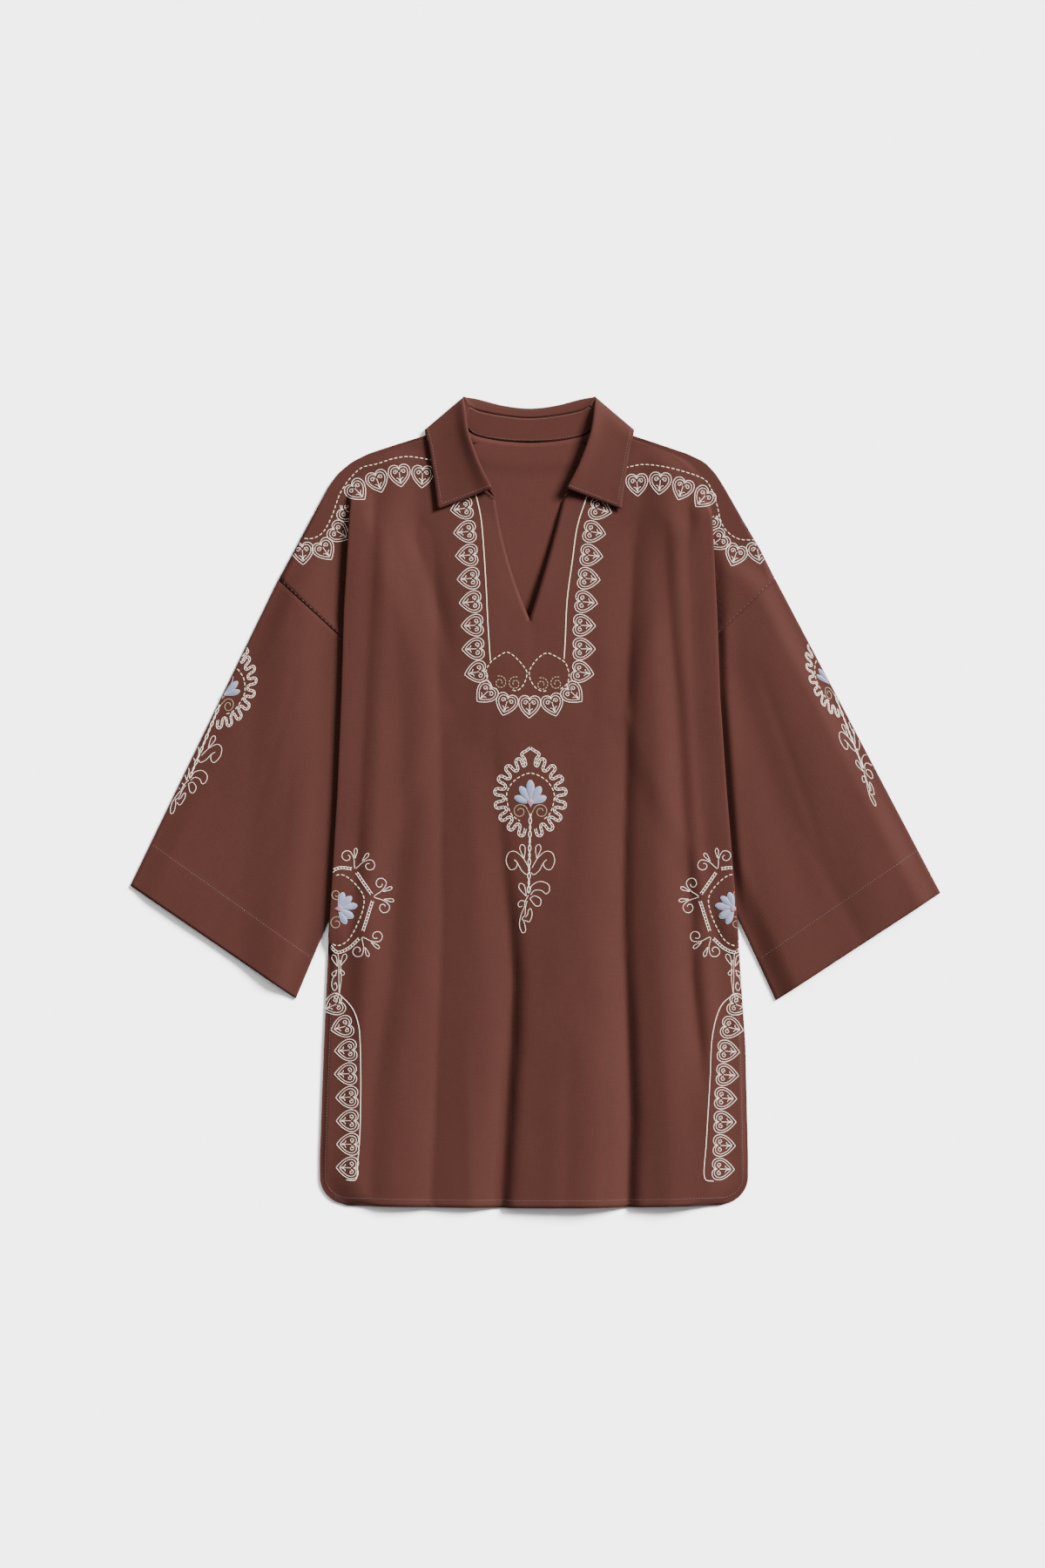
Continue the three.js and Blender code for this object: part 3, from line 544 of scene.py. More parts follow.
def weave_group() -> bpy.types.NodeTree:
    """Builds the plain weave: threads over and under each other, with slubs and soft fading.

    Returns:
        A group that takes a position in metres and gives Height, Slub and Fade.
    """
    tree, sheet, source, target = new_group(
        "plain_weave",
        [("Vector", "NodeSocketVector", 0.0), ("Thread pitch", "NodeSocketFloat", 0.0008)],
        [("Height", "NodeSocketFloat"), ("Slub", "NodeSocketFloat"), ("Fade", "NodeSocketFloat")],
    )
    place = sheet.add("ShaderNodeSeparateXYZ")
    sheet.link(source.outputs["Vector"], place.inputs[0])
    turns = []
    for axis in (0, 1):
        cycles = sheet.math("DIVIDE", place.outputs[axis], source.outputs["Thread pitch"])
        turns.append(sheet.math("SINE", sheet.math("MULTIPLY", cycles, math.pi)))
    height = sheet.math("MULTIPLY", turns[0], turns[1])
    slubs = []
    for stretch in ((1400.0, 60.0, 1.0), (60.0, 1400.0, 1.0)):
        scale = sheet.add("ShaderNodeVectorMath", operation="MULTIPLY")
        scale.inputs[1].default_value = stretch
        sheet.link(source.outputs["Vector"], scale.inputs[0])
        threads = sheet.add("ShaderNodeTexNoise", noise_dimensions="3D")
        threads.inputs["Scale"].default_value = 1.0
        threads.inputs["Detail"].default_value = 2.0
        sheet.link(scale.outputs[0], threads.inputs["Vector"])
        slubs.append(threads.outputs["Fac"])
    slub = sheet.math("MULTIPLY", sheet.math("ADD", slubs[0], slubs[1]), 0.5)
    fade = sheet.add("ShaderNodeTexNoise", noise_dimensions="3D")
    fade.inputs["Scale"].default_value = 9.0
    fade.inputs["Detail"].default_value = 3.0
    sheet.link(source.outputs["Vector"], fade.inputs["Vector"])
    sheet.link(height, target.inputs["Height"])
    sheet.link(slub, target.inputs["Slub"])
    sheet.link(fade.outputs["Fac"], target.inputs["Fade"])
    return tree


def strand_group() -> bpy.types.NodeTree:
    """Builds the look of a worked thread from its own run (U) and its round (V).

    Returns:
        A group that takes the thread's UV in metres and gives Height and Gap.
    """
    tree, sheet, source, target = new_group(
        "worked_thread",
        [("Vector", "NodeSocketVector", 0.0), ("Stitch", "NodeSocketFloat", 0.0024)],
        [("Height", "NodeSocketFloat"), ("Gap", "NodeSocketFloat")],
    )
    place = sheet.add("ShaderNodeSeparateXYZ")
    sheet.link(source.outputs["Vector"], place.inputs[0])
    run = sheet.math("DIVIDE", place.outputs[0], source.outputs["Stitch"])
    lean = sheet.math("ABSOLUTE", sheet.math("SUBTRACT", sheet.math("FRACT", place.outputs[1]), 0.5))
    chevron = sheet.math("FRACT", sheet.math("ADD", run, sheet.math("MULTIPLY", lean, 1.2)))
    ridge = sheet.math("ABSOLUTE", sheet.math("SUBTRACT", chevron, 0.5))
    gap = sheet.math("GREATER_THAN", ridge, 0.41)
    sheet.link(ridge, target.inputs["Height"])
    sheet.link(gap, target.inputs["Gap"])
    return tree


@dataclass(frozen=True)
class ClothFinish:
    """Plain-woven cotton, dyed in the piece."""

    name: str
    colour: tuple[float, float, float, float]
    shade: tuple[float, float, float, float]
    roughness: float = 0.82
    bump: float = 0.35

    def make(self, weave: bpy.types.NodeTree) -> bpy.types.Material:
        """Returns the material, with its weave on the piece's own UV map."""
        material, sheet, shader = new_material(self.name)
        cloth = sheet.add("ShaderNodeUVMap", uv_map="cloth")
        group = sheet.add("ShaderNodeGroup", node_tree=weave)
        sheet.link(cloth.outputs[0], group.inputs["Vector"])
        slub = sheet.math("MULTIPLY_ADD", group.outputs["Slub"], 2.2, -0.6)
        dyed = sheet.mix(slub, self.shade, self.colour)
        worn = sheet.math("MULTIPLY_ADD", group.outputs["Fade"], 0.9, -0.25)
        paler = tuple(min(1.0, c * 1.22) for c in self.colour[:3]) + (1.0,)
        faded = sheet.mix(worn, dyed, paler)
        half = sheet.mix(0.5, dyed, faded)
        sheet.link(half, shader.inputs["Base Color"])
        bump = sheet.add("ShaderNodeBump")
        bump.inputs["Strength"].default_value = self.bump
        bump.inputs["Distance"].default_value = 0.0002
        relief = sheet.math("MULTIPLY_ADD", group.outputs["Slub"], 1.6, group.outputs["Height"])
        sheet.link(relief, bump.inputs["Height"])
        sheet.link(bump.outputs[0], shader.inputs["Normal"])
        shader.inputs["Roughness"].default_value = self.roughness
        shader.inputs["Specular IOR Level"].default_value = 0.08
        shader.inputs["Sheen Weight"].default_value = 0.03
        shader.inputs["Sheen Roughness"].default_value = 0.45
        shader.inputs["Sheen Tint"].default_value = (0.75, 0.45, 0.38, 1.0)
        return material


@dataclass(frozen=True)
class ThreadFinish:
    """Embroidery or sewing thread."""

    name: str
    colour: tuple[float, float, float, float]
    gap: tuple[float, float, float, float]
    stitch: float = 0.0024
    roughness: float = 0.62

    def make(self, strand: bpy.types.NodeTree) -> bpy.types.Material:
        """Returns the material, with its stitches on the thread's own UV map."""
        material, sheet, shader = new_material(f"thread_{self.name}")
        run = sheet.add("ShaderNodeUVMap", uv_map="cloth")
        group = sheet.add("ShaderNodeGroup", node_tree=strand)
        group.inputs["Stitch"].default_value = self.stitch
        sheet.link(run.outputs[0], group.inputs["Vector"])
        place = sheet.add("ShaderNodeTexCoord")
        uneven = sheet.add("ShaderNodeTexNoise")
        uneven.inputs["Scale"].default_value = 900.0
        sheet.link(place.outputs["Object"], uneven.inputs["Vector"])
        darker = tuple(c * 0.74 for c in self.colour[:3]) + (1.0,)
        dyed = sheet.mix(uneven.outputs["Fac"], darker, self.colour)
        share = sheet.math("MULTIPLY", group.outputs["Gap"], 0.55)
        sheet.link(sheet.mix(share, dyed, self.gap), shader.inputs["Base Color"])
        bump = sheet.add("ShaderNodeBump")
        bump.inputs["Strength"].default_value = 0.5
        bump.inputs["Distance"].default_value = 0.0003
        sheet.link(group.outputs["Height"], bump.inputs["Height"])
        sheet.link(bump.outputs[0], shader.inputs["Normal"])
        shader.inputs["Roughness"].default_value = self.roughness
        shader.inputs["Sheen Weight"].default_value = 0.06
        return material


class Finishes:
    """Every material of the garment, made once."""

    def __init__(self) -> None:
        """Makes the shared groups and the materials."""
        weave = weave_group()
        strand = strand_group()
        self.cloth = ClothFinish(
            "cloth", (0.0283, 0.0083, 0.0059, 1.0), (0.0216, 0.0061, 0.0043, 1.0)).make(weave)
        self.inside = ClothFinish(
            "cloth_inside", (0.0318, 0.0095, 0.0068, 1.0), (0.0243, 0.0069, 0.0051, 1.0)).make(weave)
        threads = (
            (ThreadFinish("cream", (0.50, 0.42, 0.355, 1.0), (0.2, 0.13, 0.1, 1.0)), "thread_cream"),
            (ThreadFinish("braid", (0.46, 0.385, 0.27, 1.0), (0.2, 0.16, 0.1, 1.0)), "thread_cream"),
            (ThreadFinish("gold", (0.15, 0.105, 0.05, 1.0), (0.06, 0.04, 0.02, 1.0)), "thread_gold"),
            (ThreadFinish("blue", (0.085, 0.1, 0.155, 1.0), (0.13, 0.145, 0.2, 1.0), 0.0009), "thread_blue"),
            (ThreadFinish("pale", (0.2, 0.205, 0.25, 1.0), (0.13, 0.13, 0.17, 1.0)), "thread_blue"),
            (ThreadFinish("pink", (0.15, 0.07, 0.095, 1.0), (0.09, 0.04, 0.055, 1.0), 0.0009), "thread_pink"),
            (ThreadFinish("tonal", (0.026, 0.0078, 0.0056, 1.0), (0.012, 0.004, 0.003, 1.0)), "thread_tonal"),
        )
        self.thread = {finish.name: (finish.make(strand), slot) for finish, slot in threads}


# ---------------------------------------------------------------- shells of cloth
def mesh_data(name: str, mesh: bmesh.types.BMesh) -> bpy.types.Mesh:
    """Returns a worked mesh as the data of an object, and frees it."""
    data = bpy.data.meshes.new(name)
    mesh.to_mesh(data)
    mesh.free()
    return data


def show(name: str, data: bpy.types.ID) -> bpy.types.Object:
    """Returns a new object of the scene with its data."""
    made = bpy.data.objects.new(name, data)
    bpy.context.scene.collection.objects.link(made)
    return made


class ClothShell:
    """One cut piece: grids of cloth, welded, with a wall of even thickness."""

    def __init__(self, name: str, place: Place) -> None:
        """Starts an empty piece.

        Args:
            name: the name of the finished object.
            place: where the garment lies in the frame.
        """
        self.name = name
        self.place = place
        self.mesh = bmesh.new()
        self.uv = self.mesh.loops.layers.uv.new("cloth")

    def grid(self, points: np.ndarray, cloth: np.ndarray) -> None:
        """Adds a grid of cloth.

        Args:
            points: rows, columns and x, y, z, in millimetres.
            cloth: rows, columns and the place on the uncut cloth, in millimetres.
        """
        high, wide = points.shape[:2]
        made = bmesh.ops.create_grid(
            self.mesh, x_segments=wide - 1, y_segments=high - 1, size=1.0)["verts"]
        spots = self.place.metres(points.reshape(-1, 3))
        at = {}
        for vert, spot, mark in zip(made, spots, cloth.reshape(-1, 2) * MM):
            vert.co = spot
            at[vert] = mark
        for face in {face for vert in made for face in vert.link_faces}:
            for loop in face.loops:
                loop[self.uv].uv = at[loop.vert]

    def finish(self, material: bpy.types.Material, up: bool = True) -> bpy.types.Object:
        """Welds the grids and gives the cloth its thickness.

        Args:
            material: the finish of the cloth.
            up: whether the outer face of the first face looks up.

        Returns:
            The finished object, riding on the garment.
        """
        bmesh.ops.remove_doubles(self.mesh, verts=self.mesh.verts, dist=0.00002)
        self.mesh.faces.ensure_lookup_table()
        widest = max(self.mesh.faces, key=lambda face: face.calc_area())
        widest.normal_update()
        bmesh.ops.recalc_face_normals(self.mesh, faces=self.mesh.faces)
        if (widest.normal.z > 0) != up:
            bmesh.ops.reverse_faces(self.mesh, faces=self.mesh.faces)
        data = mesh_data(self.name, self.mesh)
        data.shade_smooth()
        data.materials.append(material)
        made = show(self.name, data)
        wall = made.modifiers.new("wall", "SOLIDIFY")
        wall.thickness = CLOTH * MM
        wall.offset = 0.0
        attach(made, BODY)
        area = sum(face.area for face in data.polygons)
        LOG.info("%s: %d faces, %.4f square metres", self.name, len(data.polygons), area)
        return made


def run_length(points: np.ndarray) -> np.ndarray:
    """Returns how far along each row of a grid its points lie."""
    steps = np.linalg.norm(np.diff(points, axis=1), axis=2)
    return np.concatenate([np.zeros((len(points), 1)), np.cumsum(steps, axis=1)], axis=1)


@dataclass
class FrontPanel:
    """The front: one cut piece, slit at the neck and tucked under at its sides."""

    place: Place
    draft: Draft
    neck_edge: dict[Side, np.ndarray]
    rows: int = 228
    top_points: int = 62
    turn_points: int = 4
    tuck_points: int = 6
    arm_points: int = 14
    high: float = 415.0
    low: float = -437.5

    def start(self, side: Side, y: float) -> float:
        """Returns the half width at which a row begins: the centre, the slit or the neckline."""
        if y <= SLIT_FOOT_Y:
            return 0.0
        if y <= SLIT_TOP_Y:
            return float(self.draft.slit(side, y))
        edge = self.neck_edge[side]
        return float(np.interp(y, edge[:, 1], edge[:, 0]))

    def folded(self, side: Side, y: float) -> tuple[np.ndarray, np.ndarray]:
        """Returns half widths and heights of a row that folds under at the body edge."""
        draft = self.draft
        edge = float(draft.body_edge(side, y))
        inner = min(float(draft.tuck_inner(side, y)), edge - TUCK_DEPTH_MIN)
        top_z = float(draft.front_height(side, edge - 2, y))
        turn = min(EDGE_TURN, (top_z - TUCK_LAYER) / 2)
        share = np.linspace(0, 1, self.top_points) ** 0.92
        top_x = lerp(self.start(side, y), edge - turn, share)
        heights = np.array(draft.front_height(side, top_x, np.full_like(top_x, y)))
        heights[-1] = top_z
        angle = math.pi * (0.5 - np.arange(1, self.turn_points + 1) / (self.turn_points + 1))
        turn_x = edge - turn + turn * np.cos(angle)
        turn_z = top_z - turn + turn * np.sin(angle)
        back = (TUCK_LAYER - ARM_LAYER) / 2
        tuck_to = min(inner + back, edge - turn - 0.6)
        tuck_x = np.linspace(edge - turn, tuck_to, self.tuck_points)
        tuck_z = lerp(top_z - 2 * turn, TUCK_LAYER, np.linspace(0, 1, self.tuck_points))
        back_x = tuck_to - back * np.cos(angle)
        back_z = TUCK_LAYER - back + back * np.sin(angle)
        end = draft.shoulder(side, y) if y > SHOULDER_TIP_Y else draft.armhole(side, y) - SEAM_GAP
        arm_x = np.linspace(tuck_to, max(float(end), tuck_to + SIDE_SEAM_TURN), self.arm_points)
        over = draft.under_sleeve(side, arm_x, y) + SLEEVE_UPPER - SLEEVE_LOWER + SEAM_LAYER
        near_seam = smooth(arm_x[-1] - 15, arm_x[-1] - 4, arm_x) if y <= SHOULDER_TIP_Y else 0.0
        share = draft.seam_share(side, arm_x, y)
        arch = draft.beside_body(side, arm_x, y) * draft.between_folds(share)
        arm_z = np.maximum(ARM_LAYER, lerp(ARM_LAYER, over, near_seam))
        arm_z = arm_z + arch * (1 - smooth(*ARM_ARCH_END, y))
        xs = np.concatenate([top_x, turn_x, tuck_x, back_x, arm_x])
        zs = np.concatenate([heights, turn_z, tuck_z, back_z, arm_z])
        return xs, zs

    def plain(self, side: Side, y: float) -> tuple[np.ndarray, np.ndarray]:
        """Returns half widths and heights of a row that runs on to the edge of the cloth."""
        draft = self.draft
        above = y > draft.tuck_start(side)
        end = float(draft.shoulder(side, y) if above else draft.body_edge(side, y))
        step, gap, low = plain_step(draft, side, y)
        share = np.linspace(0, 1, self.top_points) ** 0.92
        begin = min(self.start(side, y), step - 1)
        top_x = lerp(begin, step, share)
        top_z = draft.front_height(side, top_x, np.full_like(top_x, y))
        total = self.turn_points * 2 + self.tuck_points
        t = np.arange(1, total + 1) / total
        drop_x = step + gap * t
        drop_z = lerp(top_z[-1], low, smooth(0.0, 1.0, t))
        arm_x = lerp(step + gap, end, np.arange(1, self.arm_points + 1) / self.arm_points)
        xs = np.concatenate([top_x, drop_x, arm_x])
        return xs, np.concatenate([top_z, drop_z, np.full_like(arm_x, low)])

    def widened(self, side: Side, y: float, xs: np.ndarray) -> np.ndarray:
        """Returns a half-open row drawn out again to the edge of the body."""
        if y > 0:
            return xs
        widest = xs.max()
        return xs + (float(self.draft.body_edge(side, y)) - widest) * (xs / widest) ** 8

    def half_row(self, side: Side, y: float) -> np.ndarray:
        """Returns the points of one side's half of a row."""
        start = self.draft.tuck_start(side)
        opened = max(float(smooth(start - 4, start + 12, y)),
                     float(smooth(TUCK_END_Y - 2, TUCK_END_Y - 36, y)))
        if opened >= 1:
            xs, zs = self.plain(side, y)
        elif opened <= 0:
            xs, zs = self.folded(side, y)
        else:
            xs, zs = (lerp(a, b, opened) for a, b in zip(self.folded(side, y), self.plain(side, y)))
            xs = self.widened(side, y, xs)
        hem = np.clip((HEM_Y + CORNER_RADIUS - y) / CORNER_RADIUS, 0.0, 1.0)
        ys = y + hem * (HEM_RISE * (xs / HEM_SWEEP) ** 2 - HEM_RISE)
        return np.stack([side.value * xs, ys, zs], axis=1)

    def points(self, side: Side) -> np.ndarray:
        """Returns the rows of one side's half, from the neck to the hem."""
        ys = np.linspace(self.high, self.low, self.rows)
        return np.array([self.half_row(side, y) for y in ys])

    def make(self, finish: bpy.types.Material) -> bpy.types.Object:
        shell = ClothShell("front_cloth", self.place)
        for side in Side:
            points = self.points(side)
            cloth = np.stack([side.value * run_length(points), points[:, :, 1]], axis=2)
            shell.grid(points, cloth)
        made = shell.finish(finish)
        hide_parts("front")
        return made


def plain_step(draft: Draft, side: Side, y: float) -> tuple[float, float, float]:
    """Returns where a plain row steps down, over what width, and to what height."""
    if y > draft.tuck_start(side):
        end = float(draft.shoulder(side, y))
        step = min(float(draft.body_edge(side, y)) - 2, end * 0.86)
        gap = float(lerp(4, 12, smooth(320, 360, y))) * min(1.0, end / 200)
        raised = COLLAR_CLEAR * float(draft.back_height(end, y) - BACK_LAYER)
        return step, gap, ARM_LAYER + raised
    return float(draft.body_edge(side, y)) - 9, 8.0, FRONT_REST


@dataclass
class BackPanel:
    """The back: one cut piece, flat on the surface."""

    place: Place
    draft: Draft
    neck: np.ndarray
    rows: int = 130
    columns: int = 70

    def edge(self, side: Side, y: float) -> float:
        """Returns the half width of the back."""
        body = float(self.draft.body_edge(side, y)) - BACK_INSET
        if y > SHOULDER_TIP_Y:
            return float(self.draft.shoulder(side, y))
        return max(body, float(self.draft.armhole(side, y)) - SEAM_GAP)

    def make(self, finish: bpy.types.Material) -> bpy.types.Object:
        shell = ClothShell("back_cloth", self.place)
        share = np.linspace(-1, 1, self.columns)
        rows = []
        for y in np.linspace(HEM_Y + BACK_HEM_IN, BACK_TOP, self.rows):
            right, left = self.edge(Side.RIGHT, y), self.edge(Side.LEFT, y)
            x = np.where(share < 0, share * right, share * left)
            top = np.minimum(np.interp(np.abs(x), self.neck[:, 0], self.neck[:, 1]), BACK_TOP)
            drawn = (top - BACK_NECK) / (BACK_TOP - BACK_NECK)
            rows.append(np.stack([x, min(y, BACK_NECK) + max(y - BACK_NECK, 0.0) * drawn], axis=1))
        plan = np.array(rows)
        heights = self.draft.back_height(plan[:, :, 0], plan[:, :, 1])
        points = np.concatenate([plan, heights[:, :, None]], axis=2)
        shell.grid(points, plan)
        made = shell.finish(finish)
        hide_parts("back")
        return made


@dataclass
class Sleeve:
    """A sleeve: a flat open tube from the armhole seam to its hem."""

    side: Side
    place: Place
    draft: Draft
    rings: int = 112
    upper_points: int = 64
    lower_points: int = 30
    fold_points: int = 3
    turn: float = 0.004

    def plan(self, w, t):
        """Returns half width and height on the body, at a share of the width and the length."""
        cut = SLEEVES[self.side]
        outer = [lerp(a, b, t) for a, b in zip(cut.outer_top, cut.outer_hem)]
        inner = [lerp(a, b, t) for a, b in zip(cut.inner_top, cut.inner_hem)]
        return lerp(outer[0], inner[0], w), lerp(outer[1], inner[1], w)

    def shares(self, half: np.ndarray, y: np.ndarray) -> tuple[np.ndarray, np.ndarray]:
        """Returns the shares of width and length at plan points, by a few corrected guesses."""
        w, t = np.full_like(half, 0.5), np.full_like(half, 0.5)
        small = 1e-3
        for _ in range(8):
            x0, y0 = self.plan(w, t)
            xw, yw = self.plan(w + small, t)
            xt, yt = self.plan(w, t + small)
            a, b, c, d = (xw - x0) / small, (xt - x0) / small, (yw - y0) / small, (yt - y0) / small
            det = a * d - b * c
            dx, dy = half - x0, y - y0
            w = w + (d * dx - b * dy) / det
            t = t + (a * dy - c * dx) / det
        return w, t

    def loft(self, half, y, w, t):
        """Returns how far the upper layer arches over the lower one."""
        folds = 0.0
        for fold in SLEEVE_FOLDS:
            along = np.clip((t - fold.t0) / (fold.t1 - fold.t0), 0.0, 1.0)
            off = w - lerp(fold.w0, fold.w1, along)
            live = (smooth(fold.t0 - 0.12, fold.t0 + 0.08, t)
                    * (1 - smooth(fold.t1 - 0.1, fold.t1 + 0.12, t)))
            folds = folds + fold.height * np.exp(-((off / fold.wide) ** 2)) * live
        middle = self.draft.between_folds(w)
        arch = self.draft.beside_body(self.side, half, y)
        uneven = ((folds + 0.9 * waver(half, y, 52.0)) * smooth(0, 0.12, t)
                  * np.minimum(arch / SLEEVE_LOFT, 1.0))
        return np.maximum(0.0, arch + uneven) * middle

    def hem_step(self, t):
        """Returns the extra height of the deep turned hem."""
        start = 1 - SLEEVE_HEM / SLEEVE_LENGTH
        return 0.25 * smooth(start - 0.004, start + 0.004, t)

    def height(self, w, t, layer):
        """Returns the height of the cloth: layer is 1 on top and 0 below."""
        half, y = self.plan(w, t)
        dip = SEAM_DIP * (1 - smooth(-SEAM_LAP / SLEEVE_LENGTH, 0.0, t))
        upper = (layer > 0.99) * (self.loft(half, y, w, t) + self.hem_step(t) - dip)
        floor = self.draft.under_sleeve(self.side, half, y)
        return floor + layer * (SLEEVE_UPPER - SLEEVE_LOWER) + upper

    def make(self, finish: bpy.types.Material) -> bpy.types.Object:
        name = f"sleeve_{self.side.name.lower()}"
        shell = ClothShell(f"{name}_cloth", self.place)
        angle = math.pi * np.arange(1, self.fold_points + 1) / (self.fold_points + 1)
        upper = np.linspace(self.turn, 1 - self.turn, self.upper_points)
        lower = np.linspace(1 - self.turn, self.turn, self.lower_points)
        shares = np.concatenate([upper, 1 - self.turn + self.turn * np.sin(angle), lower,
                                 self.turn - self.turn * np.sin(angle), upper[:1]])
        layers = np.concatenate([np.ones_like(upper), 0.5 + 0.5 * np.cos(angle), np.zeros_like(lower),
                                 0.5 - 0.5 * np.cos(angle), [1.0]])
        along = np.linspace(SEAM_GAP / SLEEVE_LENGTH, 1, self.rings)
        w, t = np.meshgrid(shares, along)
        layer = np.meshgrid(layers, along)[0]
        t = t - SEAM_LAP / SLEEVE_LENGTH * layer * (1 - smooth(0.0, 0.04, t))
        half, y = self.plan(w, t)
        z = self.height(w, t, layer)
        points = np.stack([self.side.value * half, y, z], axis=2)
        cloth = np.stack([run_length(points), t * SLEEVE_LENGTH], axis=2)
        shell.grid(points, cloth)
        made = shell.finish(finish)
        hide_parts(name)
        return made


@dataclass
class Collar:
    """The collar: a stand on the neck seam and a fall that rolls over it."""

    place: Place
    steps: int = 9

    def line(self, key: str) -> np.ndarray:
        """Returns one line along the whole collar, from one front end to the other."""
        half = [getattr(row, key) for row in COLLAR]
        mirrored = [(-x, y, z) for x, y, z in half[:-1]]
        line = spline(mirrored + [half[-1]] + half[-2::-1], self.steps)
        line[:, 2] = np.maximum(line[:, 2], BACK_LAYER)
        return line

    def cleared(self, rows: slice, clear: float) -> np.ndarray:
        """Returns part of the neck seam in plan, moved out from the middle of the neck hole."""
        away = self.line("neck")[rows, :2] - (0.0, NECK_MIDDLE_Y)
        reach = np.linalg.norm(away, axis=1, keepdims=True)
        return away * (reach + clear) / reach + (0.0, NECK_MIDDLE_Y)

    def neck_edge(self, clear: float) -> np.ndarray:
        """Returns half widths and heights of the front's neckline, from the slit up."""
        out = self.cleared(slice(4 * self.steps - 1), clear)
        return np.stack([-out[:, 0], out[:, 1]], axis=1)

    def back_neck(self, clear: float) -> np.ndarray:
        """Returns half widths and heights of the back's neckline, from its middle out."""
        out = self.cleared(slice(4 * self.steps, 8 * self.steps + 1), clear)[::-1]
        out[:, 0] *= -1
        return np.vstack([out, (out[-1, 0] + 4, 470.0), (500.0, 470.0)])

    def section(self, free: np.ndarray, roll: np.ndarray, join: np.ndarray) -> np.ndarray:
        """Returns the fall's cross-section from its free edge over the roll to the stand."""
        to_free, to_join = free - roll, join - roll

        def out(share: float) -> np.ndarray:
            point = roll + to_free * share
            point[2] = lerp(free[2], roll[2], (1 - share) ** FALL_SAG)
            return point

        over = float(lerp(-1, 1, smooth(2.4, 5.4, free[2])))
        rise = np.array([0.0, 0.0, ROLL_HALF * over])
        flat_free = to_free * (1, 1, 0)
        flat_join = to_join * (1, 1, 0)
        before = roll + flat_free * ROLL_ROUND / np.linalg.norm(flat_free) + rise
        after = roll + flat_join * ROLL_ROUND / np.linalg.norm(flat_join) - rise
        knots = [out(1.0), out(0.75), out(0.5), out(0.25), before, roll, after, roll + to_join]
        return spline(knots, 4)

    def fall_points(self) -> np.ndarray:
        """Returns the grid of the fall, from one front end to the other."""
        lines = zip(self.line("free"), self.line("roll"), self.line("join"))
        return np.array([self.section(*three) for three in lines])

    def stand_points(self) -> np.ndarray:
        """Returns the grid of the stand, from its top edge to the neck seam."""
        join, neck = self.line("join"), self.line("neck")
        share = np.linspace(0.02, 1.0, 12)[None, :, None]
        return lerp(join[:, None, :], neck[:, None, :], share)

    def shell(self, name: str, points: np.ndarray) -> ClothShell:
        """Returns a grid of the collar as a cut piece."""
        shell = ClothShell(name, self.place)
        across = run_length(points)
        along = run_length(points.transpose(1, 0, 2)).T
        shell.grid(points, np.stack([across, along], axis=2))
        return shell

    def make_fall(self, finish: bpy.types.Material) -> bpy.types.Object:
        made = self.shell("collar_fall_cloth", self.fall_points()).finish(finish)
        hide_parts("collar_fall")
        return made

    def make_stand(self, finish: bpy.types.Material) -> bpy.types.Object:
        made = self.shell("collar_stand_cloth", self.stand_points()).finish(finish)
        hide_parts("collar_stand")
        return made


# ---------------------------------------------------------------- surfaces that thread is worked on
Laid = tuple[np.ndarray, np.ndarray]


def runs_of(points: np.ndarray, keep: np.ndarray, drop: float = 1.6) -> list[Laid]:
    """Cuts a laid line where it leaves its surface or falls over an edge.

    Args:
        points: the line, one row to a point.
        keep: which points are on the surface.
        drop: the step in height between neighbours that cuts the line.

    Returns:
        The stretches that are left, each with its upward directions.
    """
    if len(points) < 2:
        return []
    cut = np.abs(np.diff(points[:, 2])) > drop
    stretches, begin = [], 0
    for i in range(len(points)):
        last = i == len(points) - 1
        if not keep[i]:
            stretches.append((begin, i))
            begin = i + 1
        elif last or cut[i]:
            stretches.append((begin, i + 1))
            begin = i + 1
    up = np.array([0.0, 0.0, 1.0])
    return [(points[a:b], np.tile(up, (b - a, 1))) for a, b in stretches if b - a > 2]


class Layer(Enum):
    """Which layers of the front a surface takes in."""

    BOTH = 0
    BODY = 1
    ARM = 2


